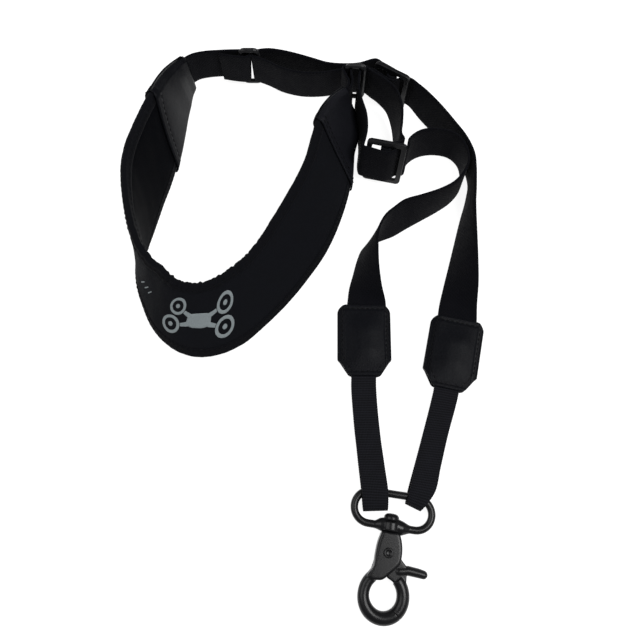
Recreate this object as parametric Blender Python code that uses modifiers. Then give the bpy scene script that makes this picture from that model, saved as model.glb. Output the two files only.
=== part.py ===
"""Neck strap for a handheld radio controller, laid out on a table.

A padded neck band with leather caps carries two webbing straps, each on a plastic ring with a three-bar slider.
Below two leather patches, narrow webbing loops hold an oval ring with a swivelling trigger snap hook.
Lengths are in millimetres on a drawing grid and become metres in at().
MIDDLE is the grid point under the origin.
"""

import math

import bmesh
import bpy
import numpy as np
from mathutils import Matrix, Vector

# ---------------------------------------------------------------- driving dimensions, in millimetres
MM = 0.001
MIDDLE = (-9.15, 114.4)
LOWEST = 0.08
GAP = 0.3

STRAP_WIDTH = 25.0
STRAP_THICK = 1.5
LOOP_THICK = 1.4
FLOOR_LIFT = 0.4

CORE_THICK = 3.4
CLOTH_THICK = 0.8
BINDING_WIDTH = 2.2
CAP_THICK = 1.2
CAP_SEAMS = {"left": (68.0, 44.0), "right": (58.0, 30.0)}
PAD_START = 22.0
CAP_END = 2.6
TAB_START = 17.0

RING_ROD = 1.6
RING_LONG = 33.0
RING_ACROSS = 14.6

SLIDER_LONG = 33.0
SLIDER_ACROSS = 25.6
SLIDER_THICK = 2.6
SLIDER_BAR = 3.4
SLIDER_SLOT = 26.6
MIDDLE_BAR = 2.6

PATCH_HALF_WIDTH = 16.6
PATCH_HALF_HEIGHT = 22.6
PATCH_THICK = 1.2

HOOK_PLANE = 5.2
HOOK_TURN = -8.6
EYE_CENTRE = (34.3, -49.7)
EYE_ACROSS = 10.8
EYE_ALONG = 11.9
EYE_ROD = 3.0
PIVOT_V = 22.4
BLADE_THICK = 8.0
SLOT_THICK = 4.8
GATE_THICK = 4.2
GATE_ROD = 2.9
RIVET_SHAFT = 1.6
PIN_SHAFT = 2.2
RUN_CLEARANCE = 0.08
HUB_RADIUS = 4.9
HUB_BOTTOM_V = 33.8
HUB_TOP_V = 41.0
OVAL_ROD = 2.15
OVAL_LOWER_V = 36.0
OVAL_UPPER_V = 53.6
OVAL_HALF_WIDTH = 22.0

# ---------------------------------------------------------------- scene and materials
for old in list(bpy.data.objects):
    bpy.data.objects.remove(old, do_unlink=True)

PARTS = bpy.data.collections.new("neck_strap")
CUTTERS = bpy.data.collections.new("cutters")
for group in (PARTS, CUTTERS):
    bpy.context.scene.collection.children.link(group)


def material(name, colour, roughness, metallic=0.0):
    made = bpy.data.materials.new(name)
    made.use_nodes = True
    shader = made.node_tree.nodes["Principled BSDF"]
    shader.inputs["Base Color"].default_value = (*colour, 1.0)
    shader.inputs["Roughness"].default_value = roughness
    shader.inputs["Metallic"].default_value = metallic
    return made


CLOTH = material("pad_cloth", (0.010, 0.010, 0.011), 0.95)
FOAM = material("foam", (0.016, 0.016, 0.017), 0.9)
BINDING = material("binding_tape", (0.009, 0.009, 0.010), 0.9)
LEATHER = material("leather", (0.020, 0.020, 0.022), 0.5)
WEBBING = material("webbing", (0.012, 0.012, 0.013), 0.85)
RIBBED = material("ribbed_webbing", (0.011, 0.011, 0.012), 0.85)
PLASTIC = material("plastic", (0.018, 0.018, 0.020), 0.45)
METAL = material("black_metal", (0.022, 0.022, 0.024), 0.4, 0.6)
STEEL = material("spring_steel", (0.3, 0.3, 0.3), 0.3, 1.0)


# ---------------------------------------------------------------- helpers
def at(point):
    """A grid point in millimetres as a place in metres."""
    x, y, z = point
    return Vector(((x - MIDDLE[0]) * MM, (y - MIDDLE[1]) * MM, (z - LOWEST) * MM))


def keep(obj, finish, group=PARTS):
    obj.data.materials.clear()
    obj.data.materials.append(finish)
    group.objects.link(obj)
    if group is CUTTERS:
        obj.hide_render = True
        obj.display_type = "WIRE"
    return obj


SPANS = (((0, 1), (1, 2), (2, 3)), ((0, 2), (1, 3)), ((1, 2),))


def smooth(points, step):
    """Rows about step apart on the centripetal Catmull-Rom curve through the given rows."""
    given = np.array(points, float)
    ends = np.vstack([2 * given[0] - given[1], given, 2 * given[-1] - given[-2]])
    gaps = np.linalg.norm(np.diff(ends, axis=0), axis=1)
    knots = np.concatenate([[0.0], np.cumsum(np.sqrt(gaps))])
    made = []
    for i in range(1, len(ends) - 2):
        times = knots[i - 1:i + 3]
        count = max(1, round(gaps[i] / step))
        for now in np.linspace(times[1], times[2], count, endpoint=False):
            row = ends[i - 1:i + 3]
            for spans in SPANS:
                row = [
                    ((times[hi] - now) * row[k] + (now - times[lo]) * row[k + 1]) / (times[hi] - times[lo])
                    for k, (lo, hi) in enumerate(spans)
                ]
            made.append(row[0])
    made.append(given[-1])
    return np.array(made)


def sheet(name, rows, thick, finish):
    """A closed plate of even thickness, centred on a grid of points given as rows of equal length."""
    mesh = bpy.data.meshes.new(name)
    build = bmesh.new()
    grid = [[build.verts.new(at(p)) for p in row] for row in rows]
    for one, two in zip(grid, grid[1:]):
        for k in range(len(one) - 1):
            build.faces.new((one[k], two[k], two[k + 1], one[k + 1]))
    build.to_mesh(mesh)
    build.free()
    made = keep(bpy.data.objects.new(name, mesh), finish)
    shell = made.modifiers.new("thickness", "SOLIDIFY")
    shell.thickness = thick * MM
    shell.offset = 0.0
    shell.use_even_offset = True
    return made


def ribbon(name, stations, thick, finish, step=6.0):
    """Webbing through stations, each its lower edge's x, y, z and then its upper edge's."""
    rows = [[s[:3], (s[:3] + s[3:]) / 2, s[3:]] for s in smooth(stations, step)]
    return sheet(name, rows, thick, finish)


def upright(x, y, low, width, lean_x=0.0, lean_y=0.0):
    """A station of webbing that stands on edge, with its upper edge moved sideways by the lean."""
    rise = math.sqrt(width ** 2 - lean_x ** 2 - lean_y ** 2)
    return (x, y, low, x + lean_x, y + lean_y, low + rise)


def arc(centre, radius, start, end, count):
    """Points on an arc, in degrees, from start to end."""
    turns = np.radians(np.linspace(start, end, count))
    return [(centre[0] + radius * math.cos(t), centre[1] + radius * math.sin(t)) for t in turns]


# ---------------------------------------------------------------- neck pad
# Each station is the pad's floor edge and then its upper edge, from the left end round to the right one.
PAD_STATIONS = (
    (-89.5, 282.5, 4, -89.5, 283, 31.5),
    (-92.8, 270, 4, -96, 272, 36),
    (-94.8, 256, 4, -101, 259.5, 40.5),
    (-96, 241, 4, -104.6, 243, 46),
    (-97, 229, 4, -108.4, 231, 47),
    (-98.8, 216, 4, -112.6, 218, 47),
    (-102.8, 204, 4, -115.4, 205, 48),
    (-106.6, 192, 4, -116.2, 191, 48.5),
    (-110.2, 178, 4, -114.6, 176.4, 49),
    (-113.4, 165, 4, -111.6, 162, 49),
    (-115.8, 153.6, 4, -108.0, 149.6, 48),
    (-116.8, 142.6, 4.2, -103.4, 139.6, 45.5),
    (-115, 131, 4.4, -97.6, 132.4, 41),
    (-110.6, 119.5, 4.6, -90.3, 127, 36),
    (-103.4, 106.5, 4.8, -83.8, 122.3, 33),
    (-93.5, 96, 4.8, -77.2, 120.6, 32),
    (-83, 89.8, 4.8, -70.4, 121, 31),
    (-71.6, 87.8, 4.8, -63.8, 123.2, 31),
    (-59.2, 89.8, 4.8, -56.8, 127.4, 31),
    (-47, 95.6, 4.8, -49.4, 133, 31),
    (-35.4, 104.2, 4.8, -43, 139.4, 31),
    (-21, 119.5, 4.8, -35.4, 150, 31),
    (-8, 136.6, 4.8, -28, 163.4, 31),
    (3, 154, 4.8, -20.6, 177, 31.5),
    (12.2, 176, 4.8, -13.6, 191, 32),
    (18.6, 200, 4.6, -7.6, 205.4, 33),
    (20.2, 218, 4.4, -3.6, 220.6, 34),
    (20.8, 234, 4.2, 0.4, 234, 36),
    (20.6, 247, 4, 8, 247, 35.5),
    (20.8, 258.5, 4, 18.6, 258, 33),
)
PAD_HEIGHT = 48.0
PAD_ROWS = 44
PAD_COLUMNS = 4
PAD_LINE = smooth(PAD_STATIONS, 2.0)
PAD_ALONG = np.concatenate([[0.0], np.cumsum(np.linalg.norm(np.diff(PAD_LINE[:, :3], axis=0), axis=1))])
PAD_LENGTH = PAD_ALONG[-1]


def pad_point(along, across, off):
    """A point of the pad: along its floor edge, across from 0 there to 1 at the top, and off outwards."""
    here, ahead, behind = (
        np.array([np.interp(x, PAD_ALONG, PAD_LINE[:, k]) for k in range(6)])
        for x in (along, along + 3.0, along - 3.0)
    )
    ways = [s[:3] + across * (s[3:] - s[:3]) for s in (here, ahead, behind)]
    normal = np.cross(ways[1] - ways[2], here[3:] - here[:3])
    return ways[0] + off * normal / np.linalg.norm(normal)


def pad_plate(name, edges, span, off, thick, finish, rows, columns):
    """A layer of the pad between two long edges, where edges(across) gives both ends along the pad."""
    grid = []
    for i in range(rows + 1):
        line = []
        for across in np.linspace(*span, columns + 1):
            start, end = edges(across)
            along = start + (end - start) * i / rows
            reach = min(along, PAD_LENGTH - along)
            line.append(pad_point(along, across, off(reach)))
        grid.append(line)
    return sheet(name, grid, thick, finish)


def make_pad():
    cloth_off = CORE_THICK / 2 + GAP + CLOTH_THICK / 2

    def whole(across):
        return PAD_START, PAD_LENGTH - PAD_START

    for name, off, thick, material in (
        ("pad_core", 0.0, CORE_THICK, FOAM),
        ("pad_face", cloth_off, CLOTH_THICK, CLOTH),
        ("pad_lining", -cloth_off, CLOTH_THICK, CLOTH),
    ):
        pad_plate(name, whole, (0.0, 1.0), lambda reach, off=off: off, thick, material, PAD_ROWS, PAD_COLUMNS)
    binding_thick = CORE_THICK + 2 * (GAP + CLOTH_THICK)
    share = BINDING_WIDTH / PAD_HEIGHT
    space = (GAP + 0.2) / PAD_HEIGHT
    for name, side, span in (
        ("outer_binding", 0, (-space - share, -space)),
        ("inner_binding", 1, (1 + space, 1 + space + share)),
    ):
        ends = (CAP_SEAMS["left"][side] + 1.0, PAD_LENGTH - CAP_SEAMS["right"][side] - 1.0)
        pad_plate(name, lambda across, e=ends: e, span, lambda reach: 0.0, binding_thick, BINDING, PAD_ROWS, 1)


def cap_off(reach):
    """How far a cap's panel is from the pad's middle: it closes in on the webbing towards the end."""
    over_pad = CORE_THICK / 2 + 2 * GAP + CLOTH_THICK + CAP_THICK / 2
    over_tab = STRAP_THICK + 1.5 * GAP + CAP_THICK / 2 + 0.1
    share = min(1.0, max(0.0, (reach - TAB_START + 8.0) / 10.0))
    return over_tab + (over_pad - over_tab) * share


def make_caps():
    for side, (at_floor, at_top) in CAP_SEAMS.items():
        def edges(across, side=side, at_floor=at_floor, at_top=at_top):
            seam = at_floor + (at_top - at_floor) * across
            return (CAP_END, seam) if side == "left" else (PAD_LENGTH - seam, PAD_LENGTH - CAP_END)

        for face, sign in (("outer", 1), ("inner", -1)):
            pad_plate(f"{side}_cap_{face}", edges, (-0.055, 1.055), lambda reach, s=sign: s * cap_off(reach),
                      CAP_THICK, LEATHER, 12, 5)


# ---------------------------------------------------------------- rings, tabs and sliders
LEFT_RING = {"centre": (-47.8, 287.6), "turn": 0.0, "base": 0.2, "loose": 1.4}
RIGHT_RING = {"centre": (23.4, 270.2), "turn": -5.0, "base": 6.0, "loose": 0.0}
LEFT_SLIDER = {"centre": (47.4, 270.2), "turn": -31.0, "lean": 2.0}
RIGHT_SLIDER = {"centre": (41.0, 208.0), "turn": -12.0, "lean": 16.0}
BAR_TO_BAR = RING_ACROSS - 2 * RING_ROD
WRAP = RING_ROD + GAP + STRAP_THICK / 2
# How many stations of a tab's folded-back layer are left out, since that layer is the shorter one.
FOLDED_BACK_FROM = {"left": 5, "right": 0}
# Places on each tab's way from its cap to its ring, with how far its layers stand off the middle there.
TAB_WAYS = {
    "left": ((-85.3, 285.6, 0.95), (-78.0, 287.6, 1.0), (-68.0, 288.4, 1.3), (-59.6, 288.0, 2.3)),
    "right": ((20.2, 263.0, 1.2), (18.6, 266.6, 1.9)),
}


def ring_bar(ring, side, inwards=0.0):
    """Where a ring's upright bar stands (side -1 is the pad's, +1 the strap's), or a place inwards of it."""
    turn = math.radians(ring["turn"])
    reach = side * (BAR_TO_BAR / 2 - inwards)
    return (ring["centre"][0] + reach * math.cos(turn), ring["centre"][1] + reach * math.sin(turn))


def make_ring(name, ring):
    """A rectangular ring bent from round rod, standing on edge."""
    half, low, high, corner = BAR_TO_BAR / 2, RING_ROD, RING_LONG - RING_ROD, 2.6
    turn = math.radians(ring["turn"])
    outline = []
    for cx, cz, start in (
        (half - corner, high - corner, 0), (corner - half, high - corner, 90),
        (corner - half, low + corner, 180), (half - corner, low + corner, 270),
    ):
        outline += arc((cx, cz), corner, start, start + 90, 4)
    tube(name, [
        (ring["centre"][0] + u * math.cos(turn), ring["centre"][1] + u * math.sin(turn), ring["base"] + v)
        for u, v in outline
    ], RING_ROD, PLASTIC, closed=True)


def tube(name, points, radius, finish, closed=False, group=PARTS):
    curve = bpy.data.curves.new(name, "CURVE")
    curve.dimensions = "3D"
    curve.bevel_depth = radius * MM
    curve.bevel_resolution = 2
    curve.use_fill_caps = not closed
    line = curve.splines.new("POLY")
    line.points.add(len(points) - 1)
    for spot, point in zip(line.points, points):
        spot.co = (*at(point), 1.0)
    line.use_cyclic_u = closed
    return keep(bpy.data.objects.new(name, curve), finish, group)


def slider_place(slider):
    """The slider's own axes: u along the strap, w out of its front, v up its bars from the table."""
    turn, lean = math.radians(slider["turn"]), math.radians(slider["lean"])
    along = np.array([math.cos(turn), math.sin(turn), 0.0])
    up = np.array([-math.sin(turn) * math.sin(lean), math.cos(turn) * math.sin(lean), math.cos(lean)])
    front = np.cross(along, up)
    base = np.array([*slider["centre"], 0.2 + SLIDER_THICK / 2 * math.sin(lean)])
    return lambda u, w, v: base + u * along + w * front + v * up


def through(slider, spots):
    """Stations of webbing at the given places in a slider, between the ends of its slots."""
    place = slider_place(slider)
    low = (SLIDER_LONG - STRAP_WIDTH) / 2
    return [(*place(u, w, low), *place(u, w, low + STRAP_WIDTH)) for u, w in spots]


def outline_plate(name, loops, thick, finish, place, rounding=0.0, group=PARTS):
    """A flat plate from closed outlines, the later ones holes; place turns the drawing into a grid point."""
    curve = bpy.data.curves.new(name, "CURVE")
    curve.dimensions = "2D"
    curve.fill_mode = "BOTH"
    curve.extrude = thick / 2 * MM
    for loop in loops:
        line = curve.splines.new("POLY")
        line.points.add(len(loop) - 1)
        for spot, (x, y) in zip(line.points, loop):
            spot.co = (x * MM, y * MM, 0.0, 1.0)
        line.use_cyclic_u = True
    flat = bpy.data.objects.new(name + "_outline", curve)
    bpy.context.scene.collection.objects.link(flat)
    mesh = bpy.data.meshes.new_from_object(flat.evaluated_get(bpy.context.evaluated_depsgraph_get()))
    bpy.data.objects.remove(flat, do_unlink=True)
    build = bmesh.new()
    build.from_mesh(mesh)
    bmesh.ops.remove_doubles(build, verts=build.verts, dist=0.00001)
    build.to_mesh(mesh)
    build.free()
    mesh.name = name
    made = keep(bpy.data.objects.new(name, mesh), finish, group)
    origin, right, up = (at(place(*p)) for p in ((0, 0), (1, 0), (0, 1)))
    x_axis = (right - origin).normalized()
    y_axis = (up - origin).normalized()
    turned = Matrix((x_axis, y_axis, x_axis.cross(y_axis))).transposed().to_4x4()
    made.matrix_world = Matrix.Translation(origin) @ turned
    if rounding:
        edge = made.modifiers.new("rounding", "BEVEL")
        edge.width = rounding * MM
        edge.segments = 2
        edge.limit_method = "ANGLE"
        edge.angle_limit = math.radians(50)
    return made


def rounded(x0, y0, x1, y1, radius, count=3):
    """A rectangle's outline with round corners."""
    made = []
    for cx, cy, start in (
        (x1 - radius, y1 - radius, 0), (x0 + radius, y1 - radius, 90),
        (x0 + radius, y0 + radius, 180), (x1 - radius, y0 + radius, 270),
    ):
        made += arc((cx, cy), radius, start, start + 90, count)
    return made


def make_slider(name, slider):
    """A plate with two slots either side of its middle bar."""
    half, slot_low = SLIDER_ACROSS / 2, (SLIDER_LONG - SLIDER_SLOT) / 2
    slot_high = slot_low + SLIDER_SLOT
    place = slider_place(slider)

    def on_plate(u, v):
        return place(u, 0.0, v)

    loops = [
        rounded(-half, 0.0, half, SLIDER_LONG, 2.4),
        rounded(MIDDLE_BAR / 2, slot_low, half - SLIDER_BAR, slot_high, 0.8, 2),
        rounded(SLIDER_BAR - half, slot_low, -MIDDLE_BAR / 2, slot_high, 0.8, 2),
    ]
    outline_plate(name, loops, SLIDER_THICK, PLASTIC, on_plate, rounding=0.5)


def make_tabs():
    """A folded webbing, sewn in between the cap's panels, with its fold round the ring's bar."""
    for side, ring, way in (
        ("left", LEFT_RING, TAB_WAYS["left"]),
        ("right", RIGHT_RING, TAB_WAYS["right"]),
    ):
        low, ring_low = 5.0, ring["base"] + 4.0
        bar = ring_bar(ring, -1)
        layers = []
        for sign in (1, -1):
            layer = []
            for reach in (TAB_START, 9.0, 1.5):
                along = reach if side == "left" else PAD_LENGTH - reach
                edges = pad_point(along, 0.0, 0.0), pad_point(along, 1.0, 0.0)
                half = STRAP_WIDTH / 2 / np.linalg.norm(edges[1] - edges[0])
                off = 0.95 * sign * (1 if side == "left" else -1)
                layer.append((*pad_point(along, 0.5 - half, off), *pad_point(along, 0.5 + half, off)))
            for k, (x, y, spread) in enumerate(way):
                before = way[k - 1] if k else layer[-1]
                after = way[k + 1] if k + 1 < len(way) else bar
                turn = math.atan2(after[1] - before[1], after[0] - before[0]) + sign * math.pi / 2
                lift = low + (ring_low - low) * (k + 1) / len(way)
                x, y = x + spread * math.cos(turn), y + spread * math.sin(turn)
                layer.append(upright(x, y, lift, STRAP_WIDTH))
            layers.append(layer)
        facing = math.degrees(math.atan2(bar[1] - way[-1][1], bar[0] - way[-1][0]))
        bend = arc(ring_bar(ring, -1, ring["loose"]), WRAP, facing + 90, facing - 90, 7)
        fold = [upright(x, y, ring_low, STRAP_WIDTH) for x, y in bend]
        folded_back = layers[1][FOLDED_BACK_FROM[side]:]
        ribbon(f"{side}_tab", layers[0] + fold + folded_back[::-1], STRAP_THICK, WEBBING)


# ---------------------------------------------------------------- the two long straps
SEWN_TURN = ((2.3, -1.5), (2.8, 0.0), (2.0, 2.0), (0.0, 2.8), (-2.0, 2.0), (-2.8, 0.0), (-2.4, -2.0))
PASSING = ((-12.5, 3.2), (-8.0, 3.7), (-3.0, 4.5), (0.0, 4.75), (3.0, 3.9), (5.4, 1.6), (7.0, -1.0), (8.6, -2.7),
           (11.0, -3.1))


def mirrored(spots):
    return [(-u, w) for u, w in spots]


def make_left_strap():
    """From its sewn end at the slider round the left ring, back through the slider, to its patch."""
    stations = through(LEFT_SLIDER, mirrored(SEWN_TURN))
    stations += through(LEFT_SLIDER, ((0.8, -3.7), (-4.0, -4.4), (-10.0, -4.7), (-15.0, -5.0)))
    for x, y, low in (
        (26, 280.6, 3.0), (14, 281.8, 1), (4.7, 283.4, FLOOR_LIFT), (-6.8, 287.4, FLOOR_LIFT),
        (-18.0, 290.8, 0.8), (-27.5, 292.4, 1.8), (-35.4, 292.2, 3.2),
    ):
        stations.append(upright(x, y, low, STRAP_WIDTH))
    for x, y in arc(ring_bar(LEFT_RING, 1, LEFT_RING["loose"]), WRAP, 85, 275, 7):
        stations.append(upright(x, y, 4.2, STRAP_WIDTH))
    for x, y, low in (
        (-34.9, 282.2, 3.0), (-26.4, 278.9, 1.2), (-13, 275.8, FLOOR_LIFT), (0, 275.6, FLOOR_LIFT),
        (12, 276.8, 1.2), (21, 277.6, 2.4), (29.5, 276.4, 3.4),
    ):
        stations.append(upright(x, y, low, STRAP_WIDTH))
    stations += through(LEFT_SLIDER, PASSING)
    stations += through(LEFT_SLIDER, ((14.0, -3.2), (17.0, -2.4)))
    for x, y, low, lean_x, lean_y in (
        (69.4, 256.4, 1.8, 1, 4), (77.6, 246.6, 0.8, 1.5, 4), (86.6, 236, FLOOR_LIFT, 1, 2),
        (94.6, 225.4, FLOOR_LIFT, 0.5, 0), (99.0, 213.5, FLOOR_LIFT, 0, 0), (100.4, 203, FLOOR_LIFT, -1.2, 0),
        (98.6, 194, FLOOR_LIFT, 0, 0),
    ):
        stations.append(upright(x, y, low, STRAP_WIDTH, lean_x, lean_y))
    stations += [
        (96.6, 187, 0.5, 98.0, 187, 25.4),
        (94.2, 180, 0.6, 97.2, 180, 25.4),
        (91.8, 172.5, 0.8, 96.8, 172.5, 25.3),
        (87.5, 158, 1.0, 96.6, 158, 24.3),
        (83.0, 143, 1.2, 96.7, 143, 22.1),
        (78.6, 129, 1.8, 97.0, 127.5, 17.5),
        (75.2, 118, 3.2, 97.6, 115.5, 8.0),
        (73.6, 110.5, 3.9, 97.8, 107.8, 4.2),
        (72.4, 103.5, 3.95, 96.9, 99.8, 3.95),
        (70.4, 91.6, 3.95, 94.9, 87.6, 3.95),
    ]
    ribbon("left_strap", stations, STRAP_THICK, WEBBING)


def make_right_strap():
    """From its sewn end at the slider round the right ring, back through the slider, to its patch."""
    stations = through(RIGHT_SLIDER, SEWN_TURN)
    stations += through(RIGHT_SLIDER, ((-0.6, -4.2), (3.2, -5.6), (7.4, -7.4), (9.8, -10.8)))
    for x, y, low, lean_x, lean_y in (
        (51.8, 226, 1.5, 0.8, 2.0), (51.0, 236, 2, 2.5, 0), (49.8, 247, 3.5, 4, 0), (46.4, 258, 5.5, 4, 0),
        (40.4, 264.6, 7.5, 2.5, 0), (35.0, 267.8, 9.5, 1, 0),
    ):
        stations.append(upright(x, y, low, STRAP_WIDTH, lean_x, lean_y))
    for x, y in arc(ring_bar(RIGHT_RING, 1), WRAP, 30, 190, 7):
        stations.append(upright(x, y, RIGHT_RING["base"] + 4.0, STRAP_WIDTH))
    for x, y, low, lean_x in (
        (26.0, 262, 8.5, 0.5), (26.0, 252, 5.5, 2), (26.8, 241, 3, 4), (26.8, 229, 1.8, 3.6), (25.8, 218, 1.2, 1.8),
    ):
        stations.append(upright(x, y, low, STRAP_WIDTH, lean_x, 0.5))
    stations += through(RIGHT_SLIDER, ((-15.6, 0.6), (-14.6, 2.6)))
    stations += through(RIGHT_SLIDER, PASSING)
    stations += through(RIGHT_SLIDER, ((13.6, -4.6),))
    for x, y, low, lean_x, lean_y in (
        (58.0, 218.6, 1.8, 0, 5), (66, 225.4, 0.8, 0, 5), (77, 227.8, FLOOR_LIFT, 0, 4),
        (88, 225.4, FLOOR_LIFT, 0, 3), (94.2, 218.4, FLOOR_LIFT, 0, 1), (95.4, 209, FLOOR_LIFT, 0, 0),
        (93.0, 199.5, FLOOR_LIFT, -1, 1), (86.5, 191, FLOOR_LIFT, -1, 2), (77, 184, FLOOR_LIFT, -0.5, 4),
        (66, 177.4, FLOOR_LIFT, -0.5, 7), (56, 171.4, FLOOR_LIFT, -2, 10),
    ):
        stations.append(upright(x, y, low, STRAP_WIDTH, lean_x, lean_y))
    stations += [
        (47.5, 166, 0.8, 47.5, 176.5, 23.5),
        (40.0, 163, 1.0, 41.5, 170.5, 24.8),
        (33.0, 160, 1.0, 37.6, 163.5, 25.3),
        (27.8, 156, 1.0, 35.8, 157, 24.7),
        (24.6, 149, 1.2, 35.5, 149, 23.7),
        (21.4, 138, 1.4, 36.0, 138, 20.8),
        (18.6, 128.6, 2.2, 38.2, 127.5, 13.6),
        (17.4, 120.6, 3.7, 41.2, 119.0, 5.4),
        (16.4, 111.6, 3.95, 40.9, 109.0, 3.95),
        (14.8, 98.4, 3.95, 39.2, 95.5, 3.95),
    ]
    ribbon("right_strap", stations, STRAP_THICK, WEBBING)


# ---------------------------------------------------------------- patches and narrow loops
# The left strap ends in the right-hand patch; each patch is named after its strap.
PATCHES = {
    "right": {"centre": (27.6, 95.0), "turn": -5.5},
    "left": {"centre": (82.0, 86.6), "turn": -9.5},
}
# Each loop's left and right edges from inside its patch down to its fold, inside the oval ring.
LOOP_EDGES = {
    "right": ((20.0, 91, 35.0, 90), (19.0, 71, 34.0, 71), (19.2, 55, 34.2, 55), (20.4, 39, 35.4, 39),
              (22.4, 20, 37.3, 20), (23.7, 6, 38.6, 5.0), (24.4, -4.6, 38.4, -4.2)),
    "left": ((71.6, 83, 86.2, 80.4), (68.9, 65, 83.4, 62), (65.4, 52, 80.0, 50), (60.8, 38, 75.4, 36.4),
             (55.4, 20, 69.8, 18.4), (50.6, 5.4, 64.0, 2.4), (49.0, -0.6, 57.6, -4.8)),
}
PATCH_FLOOR = 0.2 + PATCH_THICK / 2
PATCH_RISE = 5.5


def patch_half_width(y):
    """Half the width of a patch at a height: round upper corners and cut lower ones."""
    from_top = PATCH_HALF_HEIGHT - y
    from_bottom = PATCH_HALF_HEIGHT + y
    if from_top < 5.0:
        return PATCH_HALF_WIDTH - 5.0 + math.sqrt(25.0 - (5.0 - from_top) ** 2)
    if from_bottom < 8.5:
        return PATCH_HALF_WIDTH - (8.5 - from_bottom) * 0.72
    return PATCH_HALF_WIDTH


def make_patches():
    for side, patch in PATCHES.items():
        turn = math.radians(patch["turn"])
        cx, cy = patch["centre"]
        for face, rise in (("front", PATCH_RISE), ("back", 0.0)):
            rows = []
            for y in (22.6, 21.6, 19.6, 16.0, 8.0, 0.0, -8.0, -14.1, -18.0, -22.6):
                row = []
                for x in np.linspace(-1.0, 1.0, 13) * patch_half_width(y):
                    edge = min(1.0, max(0.0, (PATCH_HALF_WIDTH - abs(x) - 0.6) / 2.4))
                    lift = PATCH_THICK + 0.3 + (rise - PATCH_THICK - 0.3) * edge if rise else 0.0
                    row.append((cx + x * math.cos(turn) - y * math.sin(turn),
                                cy + x * math.sin(turn) + y * math.cos(turn), PATCH_FLOOR + lift))
                rows.append(row[::-1])
            sheet(f"{side}_patch_{face}", rows, PATCH_THICK, LEATHER)


def make_loops():
    """Each narrow webbing goes down over the oval ring's bar, folds and comes back under it."""
    over = HOOK_PLANE + OVAL_ROD + GAP + LOOP_THICK / 2 + 0.2
    for side, edges in LOOP_EDGES.items():
        line = smooth(edges, 3.0)
        middle = (line[:, :2] + line[:, 2:]) / 2
        far = np.concatenate([[0.0], np.cumsum(np.linalg.norm(np.diff(middle, axis=0), axis=1))])
        end = far[-1]
        top = ((0.0, 4.1), (18.0, 4.1), (27.0, 3.4), (end - 44.0, 3.2), (end - 24.0, 5.2),
               (end - 10.0, over), (end - 2.4, over - 0.2), (end - 0.2, over - 1.5), (end + 0.7, 4.6))
        bottom = ((end, 2.5), (end - 1.6, 1.35), (end - 9.0, 1.2), (end - 30.0, 1.2), (27.0, 1.2), (18.0, 2.4),
                  (0.0, 2.4))
        onwards = (middle[-1] - middle[-2]) / np.linalg.norm(middle[-1] - middle[-2])
        stations = []
        for along, z in top + bottom:
            spot = [np.interp(along, far, line[:, k]) for k in range(4)]
            past = max(0.0, along - end) * onwards
            stations.append((spot[0] + past[0], spot[1] + past[1], z, spot[2] + past[0], spot[3] + past[1], z))
        ribbon(f"{side}_loop", stations, LOOP_THICK, RIBBED, step=9.0)


# ---------------------------------------------------------------- swivel ring and trigger hook
def hook_place(u, v, n=0.0):
    """A place on the hook: u to its right, v up its axis from the eye, n up from its plane."""
    turn = math.radians(HOOK_TURN)
    return (EYE_CENTRE[0] + u * math.cos(turn) - v * math.sin(turn),
            EYE_CENTRE[1] + u * math.sin(turn) + v * math.cos(turn), HOOK_PLANE + n)


def round_bar(name, centre, radius, length, axis, finish, group=PARTS, sides=24):
    """A cylinder on the hook: axis "v" lies along the hook and "n" stands up from its plane."""
    build = bmesh.new()
    bmesh.ops.create_cone(build, cap_ends=True, segments=sides, radius1=radius * MM, radius2=radius * MM,
                          depth=length * MM)
    mesh = bpy.data.meshes.new(name)
    build.to_mesh(mesh)
    build.free()
    made = keep(bpy.data.objects.new(name, mesh), finish, group)
    turn = Matrix.Rotation(math.radians(HOOK_TURN), 4, "Z")
    if axis == "v":
        turn = turn @ Matrix.Rotation(math.radians(-90), 4, "X")
    made.matrix_world = Matrix.Translation(at(hook_place(*centre))) @ turn
    return made


def combine(target, tool, how):
    """Joins or cuts with an exact Boolean; the tool goes to the cutters."""
    if tool.name in PARTS.objects:
        PARTS.objects.unlink(tool)
        CUTTERS.objects.link(tool)
    tool.hide_render = True
    tool.display_type = "WIRE"
    step = target.modifiers.new(how.lower(), "BOOLEAN")
    step.operation = how
    step.object = tool
    step.solver = "EXACT"


def as_mesh(curve_object):
    """The same object as a mesh with its caps welded."""
    bpy.context.view_layer.update()
    name, finish = curve_object.name, curve_object.data.materials[0]
    mesh = bpy.data.meshes.new_from_object(curve_object.evaluated_get(bpy.context.evaluated_depsgraph_get()))
    build = bmesh.new()
    build.from_mesh(mesh)
    bmesh.ops.remove_doubles(build, verts=build.verts, dist=0.00001)
    bmesh.ops.recalc_face_normals(build, faces=build.faces)
    build.to_mesh(mesh)
    build.free()
    world = curve_object.matrix_world.copy()
    bpy.data.objects.remove(curve_object, do_unlink=True)
    made = keep(bpy.data.objects.new(name, mesh), finish)
    made.matrix_world = world
    return made


def eye_arc(start, end, count, n=0.0):
    """Points on the oval middle line of the hook's eye, in degrees."""
    turns = np.radians(np.linspace(start, end, count))
    return [hook_place(EYE_ACROSS * math.cos(t), EYE_ALONG * math.sin(t), n) for t in turns]


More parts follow.
